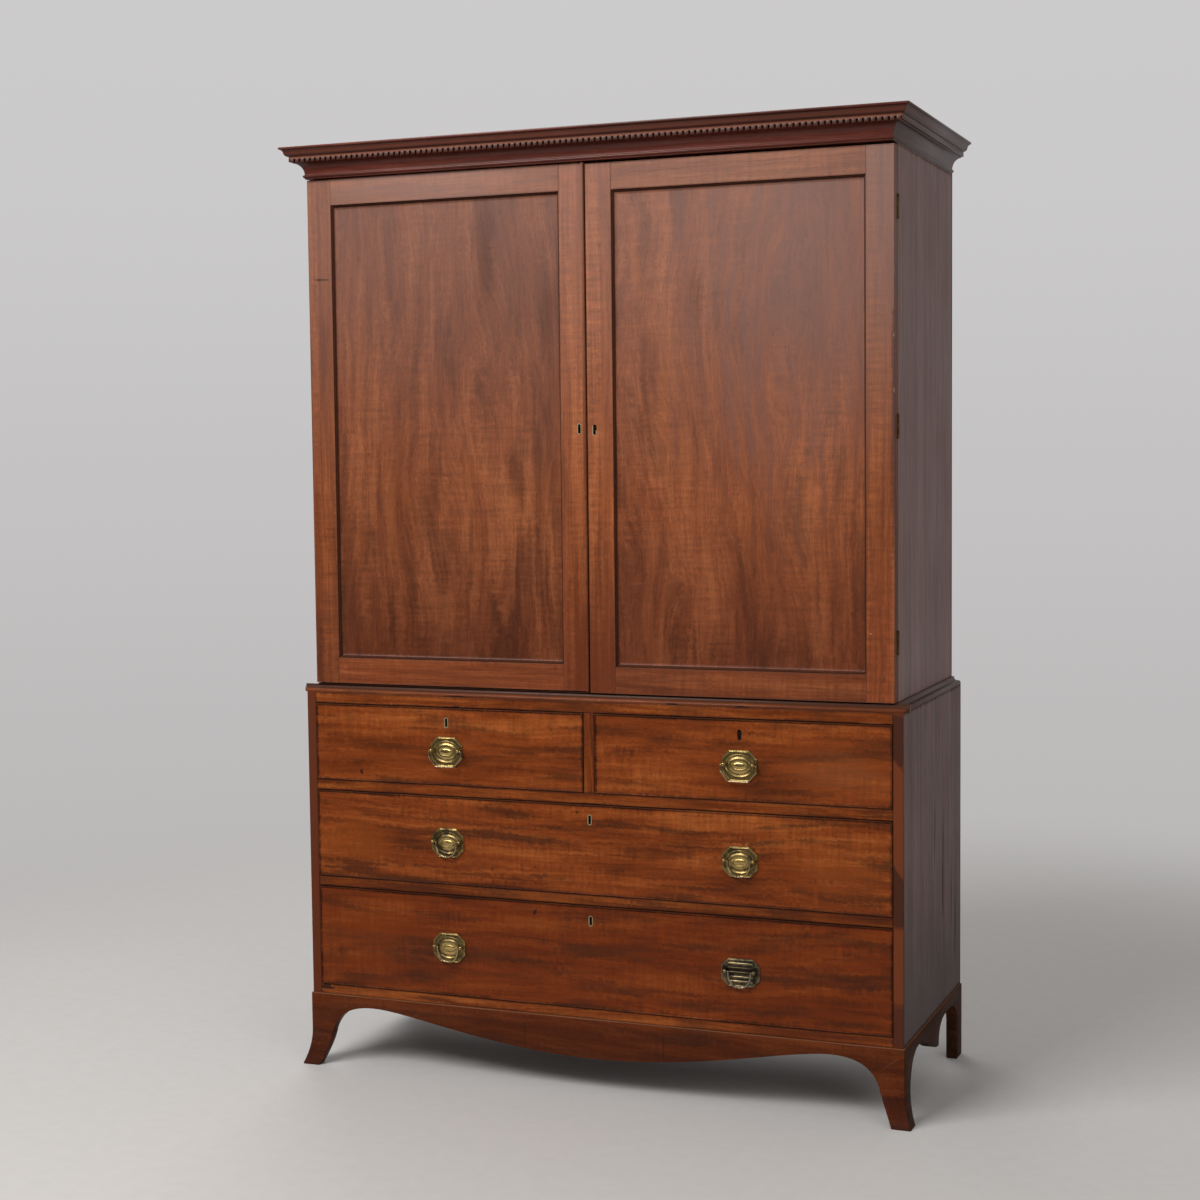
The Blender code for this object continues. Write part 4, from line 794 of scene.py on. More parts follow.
def pick(mode: str, test: Callable[[object], bool]) -> int:
    """Select what passes a test in the mesh that is being edited.

    Args:
        mode: VERT, EDGE or FACE
        test: whether one vertex, edge or face is selected

    Returns:
        How many were selected.
    """
    bpy.ops.mesh.select_mode(type=mode)
    bpy.ops.mesh.select_all(action="DESELECT")
    mesh = bpy.context.edit_object.data
    shape = bmesh.from_edit_mesh(mesh)
    group = {"VERT": shape.verts, "EDGE": shape.edges, "FACE": shape.faces}[mode]
    chosen = [element for element in group if test(element)]
    for element in chosen:
        element.select_set(True)
    shape.select_flush_mode()
    bmesh.update_edit_mesh(mesh)
    return len(chosen)


def finish_with(piece: Piece, kind: str, **settings: object) -> None:
    """Add a modifier and apply it.

    Args:
        piece: the piece
        kind: type of the modifier
        settings: its settings
    """
    focus(piece)
    modifier = piece.modifiers.new(kind.title(), kind)
    for name, value in settings.items():
        setattr(modifier, name, value)
    bpy.ops.object.modifier_apply(modifier=modifier.name)


def eased(piece: Piece, width: float, angle: float = 30.0) -> None:
    """Round the edges of a piece that turn by more than an angle in degrees."""
    finish_with(piece, "BEVEL", width=width, segments=2, limit_method="ANGLE",
                angle_limit=math.radians(angle))


def shade(piece: Piece, angle: float = 35.0) -> None:
    """Shade a piece smooth up to an angle in degrees."""
    focus(piece)
    bpy.ops.object.shade_smooth_by_angle(angle=math.radians(angle))


def tidy(piece: Piece) -> None:
    """Merge doubles and turn the faces outwards.

    Args:
        piece: the piece
    """
    with editing(piece):
        bpy.ops.mesh.remove_doubles(threshold=1e-6)
        bpy.ops.mesh.normals_make_consistent(inside=False)


def joined(name: str, pieces: Sequence[Piece]) -> Piece:
    """Make one object of several.

    Args:
        name: name of the whole
        pieces: its parts

    Returns:
        The whole.
    """
    bpy.ops.object.select_all(action="DESELECT")
    for piece in pieces:
        piece.select_set(True)
    bpy.context.view_layer.objects.active = pieces[0]
    bpy.ops.object.join()
    pieces[0].name = name
    pieces[0].data.name = name
    return pieces[0]


def copied(piece: Piece, name: str, shift: Floats = ORIGIN) -> Piece:
    """Copy a piece with its own mesh and move the copy.

    Args:
        piece: the pattern
        name: the copy's name
        shift: how far it moves

    Returns:
        The copy.
    """
    copy = piece.copy()
    copy.data = piece.data.copy()
    copy.name = name
    copy.data.name = name
    bpy.context.collection.objects.link(copy)
    copy.data.transform(Matrix.Translation(shift))
    return copy


def discard(*pieces: Piece) -> None:
    """Remove patterns that only copies were taken from."""
    for piece in pieces:
        bpy.data.objects.remove(piece)


def trace(name: str, points: Sequence[Floats]) -> Piece:
    """Draw a chain of edges: a plane shrunk to a point and drawn out from corner to corner.

    Args:
        name: the piece's name
        points: the corners, in order

    Returns:
        A piece of edges alone.
    """
    piece = fresh(name, bpy.ops.mesh.primitive_plane_add, size=0.01, location=points[0])
    with editing(piece):
        bpy.ops.mesh.merge(type="CENTER")
        for start, end in zip(points, points[1:]):
            step = Vector(end) - Vector(start)
            bpy.ops.mesh.extrude_vertices_move(TRANSFORM_OT_translate={"value": step})
    return piece


def drawn_out(name: str, outline: Sequence[Floats], run: Floats) -> Piece:
    """Draw a closed outline, fill it and extrude it.

    Args:
        name: the piece's name
        outline: corners of the section
        run: direction and length of the extrusion

    Returns:
        A closed prism.
    """
    piece = trace(name, outline)
    with editing(piece):
        bpy.ops.mesh.edge_face_add()
        bpy.ops.mesh.extrude_region_move(TRANSFORM_OT_translate={"value": run})
    tidy(piece)
    return piece


def cut_off(piece: Piece, at: Floats, normal: Floats) -> None:
    """Saw off what lies beyond a plane and close the cut.

    Args:
        piece: the piece
        at: a point of the plane
        normal: direction of what goes
    """
    with editing(piece):
        bpy.ops.mesh.bisect(plane_co=at, plane_no=normal, use_fill=True, clear_outer=True)
    tidy(piece)


def arc(centre: Floats, radii: Floats, start: float, end: float, steps: int) -> list[Pair]:
    """Points along part of an ellipse, angles in degrees.

    Args:
        centre: its middle
        radii: its two radii
        start: first angle
        end: last angle
        steps: number of chords

    Returns:
        The points.
    """
    points = []
    for i in range(steps + 1):
        angle = math.radians(start + (end - start) * i / steps)
        points.append((centre[0] + radii[0] * math.cos(angle), centre[1] + radii[1] * math.sin(angle)))
    return points


def sweep(start: Floats, first: Floats, second: Floats, end: Floats, steps: int) -> list[Pair]:
    """Points along a curve with two handles, without its start.

    Args:
        start: first point
        first: first handle
        second: second handle
        end: last point
        steps: number of chords

    Returns:
        The points.
    """
    points = []
    for i in range(1, steps + 1):
        t = i / steps
        weights = ((1 - t) ** 3, 3 * t * (1 - t) ** 2, 3 * t * t * (1 - t), t ** 3)
        corners = (start, first, second, end)
        points.append(tuple(sum(w * c[k] for w, c in zip(weights, corners)) for k in (0, 1)))
    return points


def between(start: float, end: float, share: float) -> float:
    """Value at a share of the way from start to end."""
    return start + (end - start) * share


def coat_with(piece: Piece, finish: Finish) -> None:
    """Give a piece one material alone."""
    piece.data.materials.clear()
    piece.data.materials.append(finish)


def settle(piece: Piece, body: str, finish: Finish, stands_for: Sequence[str] = ()) -> None:
    """Dress a new piece and hang it on its body.

    Args:
        piece: the piece
        body: the body that it moves with
        finish: its material
        stands_for: solids that it replaces
    """
    coat_with(piece, finish)
    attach(piece, body)
    if stands_for:
        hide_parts(*stands_for)
    LOG.info("%s rides on %s in %s", piece.name, body, finish.name)


@dataclass
class KeptBoards:
    """Flat boards whose solids stay: each gets a finish and eased edges."""

    ease: float = 0.0009
    level: float = 1.0  # faces that turn by fewer degrees become one
    corner: float = 40.0  # edges that turn by more degrees are eased

    def keep(self, name: str, finish: Finish) -> Piece:
        """Give a kept solid its finish and return the solid.

        Args:
            name: the solid's name
            finish: its material

        Returns:
            The solid.
        """
        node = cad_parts[name]
        coat_with(node, finish)
        LOG.info("%s keeps its solid in %s", name, finish.name)
        return node

    def dress(self, wood: Wood, *boards: Board) -> None:
        """Finish boards in one wood, with eased edges."""
        for board in boards:
            self.soften(self.keep(board.name, wood.material(board)))

    def soften(self, node: Piece) -> None:
        """Round a board's sharp edges with live modifiers.

        Args:
            node: the solid
        """
        weld = node.modifiers.new("Weld", "WELD")
        weld.merge_threshold = NEAR
        flat = node.modifiers.new("Planes", "DECIMATE")
        flat.decimate_type = "DISSOLVE"
        flat.angle_limit = math.radians(self.level)
        edge = node.modifiers.new("Ease", "BEVEL")
        edge.width = self.ease
        edge.segments = 2
        edge.limit_method = "ANGLE"
        edge.angle_limit = math.radians(self.corner)


@dataclass
class Doors(KeptBoards):
    """Two framed doors with their bead, hinge leaves and locks."""

    face: float = FRONT_PLANE + 0.009
    back: float = FRONT_PLANE + 0.034
    hinge_x: float = 0.6317
    leaf: Point = (0.0175, 0.0011, 0.044)
    hinge_heights: tuple[float, ...] = (0.9445, 1.36075, 1.777)
    sunk: float = 0.003
    lock: Point = (0.040, 0.0020, 0.072)
    keyhole: Pair = (0.0165, 1.3615)
    lock_shift: float = 0.006  # the lock lies off its keyhole, away from the meeting edge
    moulding: Pair = (FRONT_PLANE + 0.0120, 0.0108)  # middle and depth of the panels' moulding, which is darkened with painted shade
    screws: tuple[Pair, ...] = ((-0.12, 0.34), (0.18, 0.0), (-0.12, -0.34))  # shares of a plate

    def build(self) -> None:
        """Dress both doors and add their fittings."""
        self.frames()
        self.panels()
        self.keep("door_astragal", BEAD_WOOD.material(Board("door_astragal")))
        self.fittings()

    def frames(self) -> None:
        """Stiles and rails, with the scratches and nicks that they have collected."""
        scratch = streak(-0.601, 1.6835, 0.046, 0.0065, INK, 0.7, tilt=2, soft=0.7, ragged=0.3)
        nicks = tuple(Mark((0.6308, self.face, z), (0.0026, 0.010, tall), CREAM, 0.65, ragged=0.9)
                      for z, tall in ((1.699, 0.012), (1.655, 0.026), (1.530, 0.008), (1.426, 0.008)))
        dent = streak(0.5847, 0.9596, 0.005, 0.0035, CREAM, 0.7, soft=0.5)
        rim = streak(0.629, 1.20, 0.008, 0.9, SMOKE, 0.5, soft=0.5, ragged=0.8)
        faded = streak(0.60, 1.84, 0.60, 1.30, ASH, 0.42, soft=0.95, ragged=0.2)
        worn = streak(0.0, 0.86, 0.20, 0.64, (0.135, 0.0260, 0.0060), 0.75, soft=0.95, ragged=0.3)
        self.dress(STILE_WOOD, Board("left_door_hinge_stile", marks=(scratch,)),
                   Board("left_door_meeting_stile", marks=(worn,), lift=1.22),
                   Board("right_door_meeting_stile", marks=(worn,), lift=1.20))
        self.dress(FADED_STILE_WOOD, Board("right_door_hinge_stile", marks=(faded, rim, dent) + nicks))
        # painted sheen with dust: a paler, greyer band along the top of the left door's rail
        dust_and_painted_light = streak(-0.35, 1.88, 0.70, 0.20, (0.33, 0.20, 0.165), 0.30, soft=0.8, ragged=0.3)
        self.dress(DOOR_RAIL_WOOD, Board("left_door_top_rail", marks=(dust_and_painted_light,)), Board("right_door_top_rail"),
                   Board("left_door_bottom_rail", lift=1.15), Board("right_door_bottom_rail", lift=0.96))

    def panels(self) -> None:
        """Figured panels: vertical bands, darker smoke low down, honey streaks between, painted shade in the
        sunk moulding.
        """
        level, deep = self.moulding
        # painted shade: the sunk moulding round each panel is darkened, and left dull
        moulding = Mark((0, level, 0), (ANY, deep, ANY), (0.050, 0.0135, 0.0052), 0.85, soft=0.2,
                        square=True, ragged=0.03, dull=True)
        faded = streak(0.45, 1.68, 0.70, 1.30, ASH, 0.30, soft=0.95, ragged=0.3)
        left = (streak(-0.229, 1.70, 0.075, 0.36, SMOKE, 0.30, tilt=-2, ragged=0.4),
                streak(-0.079, 1.60, 0.055, 0.22, SMOKE, 0.29, tilt=8, ragged=0.4),
                streak(-0.199, 0.955, 0.034, 0.17, INK, 0.36, tilt=-20),
                streak(-0.125, 1.075, 0.17, 0.30, SMOKE, 0.36, soft=0.95),
                streak(-0.080, 1.20, 0.040, 0.30, SMOKE, 0.29),
                streak(-0.560, 1.15, 0.060, 0.80, SMOKE, 0.36, soft=0.95, ragged=0.4),
                streak(-0.450, 1.17, 0.024, 0.24, HONEY, 0.29, tilt=3, soft=0.95, ragged=0.4),
                streak(-0.268, 1.25, 0.022, 0.26, HONEY, 0.29, soft=0.95, ragged=0.4),
                streak(-0.31, 0.90, 0.60, 0.34, SMOKE, 0.26, soft=0.95, ragged=0.4), moulding)
        right = (faded, streak(0.128, 1.43, 0.056, 0.38, SMOKE, 0.30, tilt=2, ragged=0.4),
                 streak(0.233, 1.62, 0.050, 0.16, SMOKE, 0.23, ragged=0.4),
                 streak(0.190, 0.925, 0.13, 0.13, SMOKE, 0.40, soft=0.95),
                 streak(0.086, 1.06, 0.095, 0.36, (0.075, 0.016, 0.007), 0.40, soft=0.95, ragged=0.4),
                 streak(0.560, 1.05, 0.055, 0.66, SMOKE, 0.36, soft=0.95, ragged=0.4),
                 streak(0.37, 0.91, 0.42, 0.10, SMOKE, 0.22, soft=0.95),
                 streak(0.161, 1.40, 0.026, 0.32, HONEY, 0.32, tilt=2, soft=0.95, ragged=0.4),
                 streak(0.205, 1.30, 0.022, 0.28, HONEY, 0.25, tilt=-3, soft=0.95, ragged=0.4),
                 streak(0.105, 1.68, 0.024, 0.22, HONEY, 0.23, tilt=-10, soft=0.95, ragged=0.4), moulding)
        self.dress(PANEL_WOOD, Board("left_door_panel", marks=left, lift=0.97),
                   Board("right_door_panel", marks=right, lift=1.10))

    def fittings(self) -> None:
        """Hinge leaves and lock plates on the backs of the doors."""
        leaf = self.plate("leaf", self.leaf)
        lock = self.plate("lock", self.lock)
        for side, hand in SIDES:
            body = f"{hand}_door"
            drop = self.sunk if side > 0 else 0.0
            middle = side * (self.hinge_x - self.leaf[0] / 2)
            for place, height in zip(("bottom", "middle", "top"), self.hinge_heights):
                piece = copied(leaf, f"{body}_hinge_leaf_{place}", (middle, self.back, height - drop))
                settle(piece, body, DULL_BRASS.material(height))
            x, z = side * self.keyhole[0], self.keyhole[1] - drop
            piece = copied(lock, f"{body}_lock", (x + side * self.lock_shift, self.back, z))
            settle(piece, body, IRON.material(x))
        discard(leaf, lock)

    def plate(self, name: str, size: Point) -> Piece:
        """A flat plate let into the back of a door, with a row of slotted screws.

        Args:
            name: name of the pattern
            size: width, thickness and height

        Returns:
            The pattern, about the origin.
        """
        plate = block(name, size)
        eased(plate, size[1] / 4)
        screw = screw_head()
        rows = [copied(screw, "screw", (x * size[0], size[1] / 2, z * size[2]))
                for x, z in self.screws]
        discard(screw)
        plate = joined(name, [plate] + rows)
        shade(plate)
        return plate


def screw_head(radius: float = 0.0028, rise: float = 0.0003) -> Piece:
    """A slotted countersunk screw head that faces +Y, about the origin.

    Args:
        radius: its radius
        rise: how far it stands out

    Returns:
        The pattern.
    """
    head = fresh("screw", bpy.ops.mesh.primitive_cylinder_add, vertices=20, radius=radius, depth=2 * rise,
                 rotation=FACING)
    eased(head, rise / 2)
    slot = block("slot", (2.2 * radius, rise, radius / 3), (0, rise, 0))
    finish_with(head, "BOOLEAN", operation="DIFFERENCE", object=slot)
    discard(slot)
    return head


@dataclass
class Cupboard(KeptBoards):
    """Sides, boards, rail and boarded back of the upper case."""

    def build(self) -> None:
        """Dress the case and board its back."""
        self.dress(SIDE_WOOD, Board("upper_left_side", Face.SIDE), Board("upper_right_side", Face.SIDE))
        self.dress(PINE_SHELF, Board("upper_top_board", Face.TOP), Board("upper_bottom_board", Face.TOP))
        for name in ("hanging_rail", "rail_socket_left", "rail_socket_right"):
            self.keep(name, RAIL_BRASS.material(len(name)))
        for _, side in SIDES:
            for place in ("top", "middle", "bottom"):
                name = f"{side}_door_hinge_{place}"
                self.keep(name, DULL_BRASS.material(len(name)))
        Boarding("upper_back_panel", 6).build()


@dataclass(frozen=True)
class Boarding:
    """A back of upright planks, lapped and nailed, in place of one panel."""

    panel: str
    count: int
    seed: int = 7  # start of the small differences between planks
    gap: float = 0.0012  # shrinkage gap between planks
    lap: float = 0.007  # how far a plank reaches behind the next one
    ease: float = 0.0012
    sunk: float = 0.0008  # a plank lies back by up to this
    nail: Point = (0.0035, 0.0016, 0.0006)  # radius, length and rounding of a head
    nail_sunk: float = 0.0002
    nail_end: float = 0.010  # distance from the end of a plank
    rows: Pair = (-0.32, 0.32)  # rows of nails, as shares of a plank's width
    stray: Pair = (0.006, 0.02)  # how far a nail lies off, across and along its plank

    def build(self) -> None:
        """Lay the planks and nail them."""
        low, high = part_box(self.panel)
        middle = (low + high) / 2
        width = (high.x - low.x) / self.count
        across, along = self.stray
        plank, nail = self.plank(width, high - low), self.head()
        draw = random.Random(self.seed)
        planks, nails = [], []
        for i in range(self.count):
            x = low.x + (i + 0.5) * width
            sunk = draw.uniform(0.0, self.sunk)
            planks.append(copied(plank, "plank", (x, middle.y - sunk, middle.z)))
            for row in self.rows:
                lift = draw.uniform(-along, along)
                for end in (low.z + self.nail_end, middle.z + lift, high.z - self.nail_end):
                    off = draw.uniform(-across, across)
                    at = (x + row * width + off, high.y - sunk - self.nail_sunk, end)
                    nails.append(copied(nail, "nail", at))
        discard(plank, nail)
        cut_off(planks[-1], high, (1, 0, 0))
        boards = joined(self.panel.replace("panel", "boards"), planks)
        shade(boards)
        settle(boards, "case", PINE_WOOD.material(Board(self.panel)), [self.panel])
        heads = joined(self.panel.replace("panel", "nails"), nails)
        shade(heads)
        settle(heads, "case", IRON.material())

    def plank(self, width: float, size: Vector) -> Piece:
        """One plank with a lap along its edge, about the origin.

        Args:
            width: share of the back that it covers
            size: size of the whole back

        Returns:
            The pattern.
        """
        half, thick, tall, lap = (width - self.gap) / 2, size.y / 2, size.z, self.lap
        section = ((-half, thick), (half, thick), (half, 0.0), (half + lap, 0.0), (half + lap, -thick),
                   (lap - half, -thick), (lap - half, 0.0), (-half, 0.0))
        plank = drawn_out("plank", [(x, y, -tall / 2) for x, y in section], (0, 0, tall))
        eased(plank, self.ease, SHARP)
        return plank

    def head(self) -> Piece:
        """One nail head that faces the back, about the origin.

        Returns:
            The pattern.
        """
        radius, length, ease = self.nail
        nail = fresh("nail", bpy.ops.mesh.primitive_cylinder_add, vertices=12, radius=radius, depth=length,
                     rotation=FACING)
        eased(nail, ease)
        return nail


@dataclass
class Cornice:
    """Dentil cornice: bead, cove, dentil band, cyma and fillet, mitred to plain returns."""

    half: float = 0.6305
    back: float = FRONT_PLANE + 0.532
    foot: float = 1.8938
    seat: float = 0.018
    backing: Point = (0.6122, 0.0532, 0.040)  # half length, depth behind the front and height
    bead: Pair = (0.0032, 0.0058)  # radius and height of its middle
    cove: Pair = (0.0185, 0.0235)
    band: Point = (0.0345, 0.0450, 0.0240)  # foot, top and projection
    band_step: float = 0.001  # the dentils hang below the foot of the band
    lip: float = 0.0252
    crest: Pair = (0.0382, 0.0595)
    top: Pair = (0.0400, 0.0640)
    dentil: Pair = (0.0080, 0.0046)  # width and depth
    tuck: float = 0.0003  # dentils behind the strip above them
    pitch: float = 0.01233
    dentils: int = 106
    head: float = 0.0045  # plain strip above the dentils
    mitre: float = 0.0002
    cyma: tuple[Pair, ...] = ((0.85, 0.25), (0.25, 0.70))  # handles of its curve, as shares
    strip_lap: float = 0.001  # the strip behind reaches into the moulding
    ease: float = 0.0005
    dentil_ease: float = 0.0004
    crease: float = 40.0

    def section(self, with_gaps: bool) -> list[Pair]:
        """Projection and height of the moulding, from its foot to its top.

        Args:
            with_gaps: whether the band lies back, to be filled with dentils

        Returns:
            The points of the section without its back.
        """
        radius, rise = self.bead
        depth, height = self.cove
        foot, head, proud = self.band
        points = [(0.0, 0.0)] + arc((0.0, rise), (radius, radius), -90, 90, 10)
        points += arc((depth, rise + radius), (-depth, height), 0, 90, 14)[1:]
        points += [(depth, foot - self.band_step)]
        if with_gaps:
            ground = proud - self.dentil[1]
            points += [(ground, foot - self.band_step), (ground, head - self.head)]
        else:
            points += [(depth, foot), (proud, foot)]
        points += [(proud, head - self.head), (proud, head), (self.lip, head)]
        first, second = [(between(self.lip, self.crest[0], out), between(head, self.crest[1], up))
                         for out, up in self.cyma]
        points += sweep((self.lip, head), first, second, self.crest, 14)
        points += [(self.top[0], self.crest[1]), self.top, (-self.seat, self.top[1])]
        return points

    def build(self) -> None:
        """Make the front length and its two returns."""
        front = self.front()
        settle(front, "case", self.finish(CORNICE_WOOD, "cornice_front"), ["cornice_front"])
        for side, hand in SIDES:
            node = f"cornice_{hand}"
            piece = self.side(side, node)
            settle(piece, "case", self.finish(RETURN_WOOD, node), [node])

    def front(self) -> Piece:
        """Front length with its row of dentils and a strip behind it.

        Returns:
            The moulding.
        """
        section = self.section(True) + [(-self.seat, 0.0)]
        reach = self.half + self.top[0] + OVERLENGTH
        outline = [(-reach, FRONT_PLANE - p, self.foot + h) for p, h in section]
        piece = drawn_out("cornice_front_moulding", outline, (2 * reach, 0, 0))
        for side in (-1, 1):
            cut_off(piece, (side * self.half, FRONT_PLANE - self.mitre, 0), (side, 1, 0))
        eased(piece, self.ease, SHARP)
        half, deep, tall = self.backing
        start = self.seat - self.strip_lap
        strip = block("strip", (2 * half, deep - start, tall),
                      (0, FRONT_PLANE + (start + deep) / 2, self.foot + tall / 2))
        eased(strip, self.ease)
        piece = joined("cornice_front_moulding", [piece, strip, self.dentil_row()])
        shade(piece, self.crease)
        return piece

    def dentil_row(self) -> Piece:
        """One dentil, eased at its corners, and its repeats along the band.

        Returns:
            The row.
        """
        width, depth = self.dentil
        low = self.foot + self.band[0] - self.band_step
        high = self.foot + self.band[1] - self.head / 2
        start = -(self.dentils - 1) / 2 * self.pitch
        row = block("dentils", (width, depth, high - low),
                    (start, FRONT_PLANE - self.band[2] + self.tuck + depth / 2, (low + high) / 2))
        eased(row, self.dentil_ease)
        finish_with(row, "ARRAY", count=self.dentils, use_relative_offset=False, use_constant_offset=True,
                    constant_offset_displace=(self.pitch, 0, 0))
        return row

    def side(self, side: int, node: str) -> Piece:
        """Plain return along one side of the case.

        Args:
            side: -1 left, 1 right
            node: the solid that it stands for

        Returns:
            The moulding.
        """
        section = self.section(False) + [(-self.seat, 0.0)]
        outline = [(side * (self.half + p), self.back, self.foot + h) for p, h in section]
        length = self.back - FRONT_PLANE + self.top[0] + OVERLENGTH
        piece = drawn_out(f"{node}_moulding", outline, (0, -length, 0))
        cut_off(piece, (side * self.half, FRONT_PLANE + self.mitre, 0), (-side, -1, 0))
        eased(piece, self.ease, SHARP)
        shade(piece, self.crease)
        return piece

    def finish(self, wood: Wood, node: str) -> Finish:
        """Dark polish: painted light on the strip over the dentils, painted shade on the dentils and in
        their gaps, a rubbed cyma and dust along the top.

        Args:
            wood: its wood
            node: the solid that it stands for

        Returns:
            The material.
        """
        low, high, proud = self.band
        front = node == "cornice_front"
        middle, tall = self.foot + (low + high) / 2, high - low + 0.002
        cyma = band(self.foot + 0.0535, 0.012, (0.135, 0.045, 0.026), 0.6, 0.6, 0.2)
        # painted shade: the dentils are darkened
        dentils = band(middle, tall, (0.070, 0.026, 0.016), 0.8 if front else 0.2, 0.25, 0.1)
        # painted light: the strip over the dentils is lightened
        strip = band(self.foot + high - self.head / 2, self.head + 0.0016, (0.30, 0.115, 0.072),
                     0.8 if front else 0.15, 0.25, 0.05)
        # painted shade: the gaps between the dentils are inked dark
        gaps = Mark((0, FRONT_PLANE - proud + self.dentil[1] + 0.002, middle), (ANY, 0.006, tall), INK,
                    0.85 if front else 0.0, soft=0.2, square=True, ragged=0.0)
        dust = band(self.foot + self.top[1], 0.0016, (0.33, 0.29, 0.27), 0.5, 0.6, 0.3)
        return wood.material(Board(node, Face.FRONT, (cyma, dentils, strip, gaps, dust)))


@dataclass
class Waist:
    """Moulding on top of the drawer case, mitred round the foot of the cupboard."""

    half: float = 0.650
    back: float = FRONT_PLANE + 0.532
    low: float = 0.8093
    height: float = 0.016
    ledge: float = 0.0192
    lower: float = 0.0077
    ovolo: float = 0.006
    quirk: float = 0.0014
    fillet: float = 0.005
    step: float = 0.002
    sill: float = 0.0026  # rise of the sill under the higher door
    strip: Pair = (0.6302, 0.0349)  # half length and back of the strip under the doors
    strip_drop: float = 0.0002  # the strip lies this much lower than the moulding
    ease: float = 0.0004
    crease: float = 40.0
    steps: int = 8

    def section(self) -> list[Pair]:
        """Inset from the case's face and height of the moulding.

        Returns:
            The points of the section.
        """
        middle = self.low + self.lower
        high = self.low + self.height
        shoulder = self.ledge - self.fillet
        hollow = self.ovolo + self.quirk
        points = [(0.0, self.low), (0.0, self.low + self.step)]
        points += arc((self.ovolo, self.low + self.step), (self.ovolo, self.lower - self.step), 180, 90,
                      self.steps)[1:]
        points += [(hollow, middle)]
        points += arc((hollow, high - self.step), (shoulder - hollow, high - self.step - middle), 270, 360,
                      self.steps)[1:]
        return points + [(shoulder, high), (self.ledge, high), (self.ledge, self.low)]

    def build(self) -> None:
        """Make the three mitred lengths and the strip under the doors."""
        section = self.section()
        front = [(-self.half - OVERLENGTH, FRONT_PLANE + q, z) for q, z in section]
        lengths = [drawn_out("waist", front, (2 * self.half + 2 * OVERLENGTH, 0, 0))]
        for side in (-1, 1):
            cut_off(lengths[0], (side * self.half, FRONT_PLANE, 0), (side, -1, 0))
            outline = [(side * (self.half - q), self.back, z) for q, z in section]
            piece = drawn_out("waist_return", outline, (0, FRONT_PLANE - self.back - OVERLENGTH, 0))
            cut_off(piece, (side * self.half, FRONT_PLANE, 0), (-side, -1, 0))
            lengths.append(piece)
        reach, deep = self.strip
        start = FRONT_PLANE + self.ledge - self.fillet
        end = FRONT_PLANE + deep
        middle = (start + end) / 2
        lengths.append(block("strip", (2 * reach, end - start, self.height - self.strip_drop),
                             (0, middle, self.low + self.height / 2)))
        lengths.append(block("sill", (reach, end - start, 2 * self.sill),
                             (-reach / 2, middle, self.low + self.height)))
        for piece in lengths:
            eased(piece, self.ease, SHARP)
        waist = joined("waist_mitred_moulding", lengths)
        shade(waist, self.crease)
        rubbed = band(self.low + self.lower, 0.004, HONEY, 0.12, 0.8)
        # painted light: the upper part of the moulding, under the doors, is lightened
        dust_and_painted_light = band(self.low + self.height - 0.002, 0.013, (0.34, 0.125, 0.066), 0.25, 0.3, 0.1)
        chips = tuple(streak(x, self.low, wide, 0.007, INK, 0.85, soft=0.3, ragged=0.8)
                      for x, wide in ((-0.30, 0.075), (0.325, 0.024), (0.18, 0.03)))
        sides = Mark((0, self.back, self.low), (ANY, 2 * (self.back - FRONT_PLANE) - 0.006, ANY),
                     (0.058, 0.026, 0.0175), 0.85, soft=0.01, square=True, ragged=0.0)
        wood = WAIST_WOOD.material(Board("waist_moulding", Face.FRONT, (rubbed, dust_and_painted_light) + chips + (sides,)))
        settle(waist, "case", wood, ["waist_moulding"])


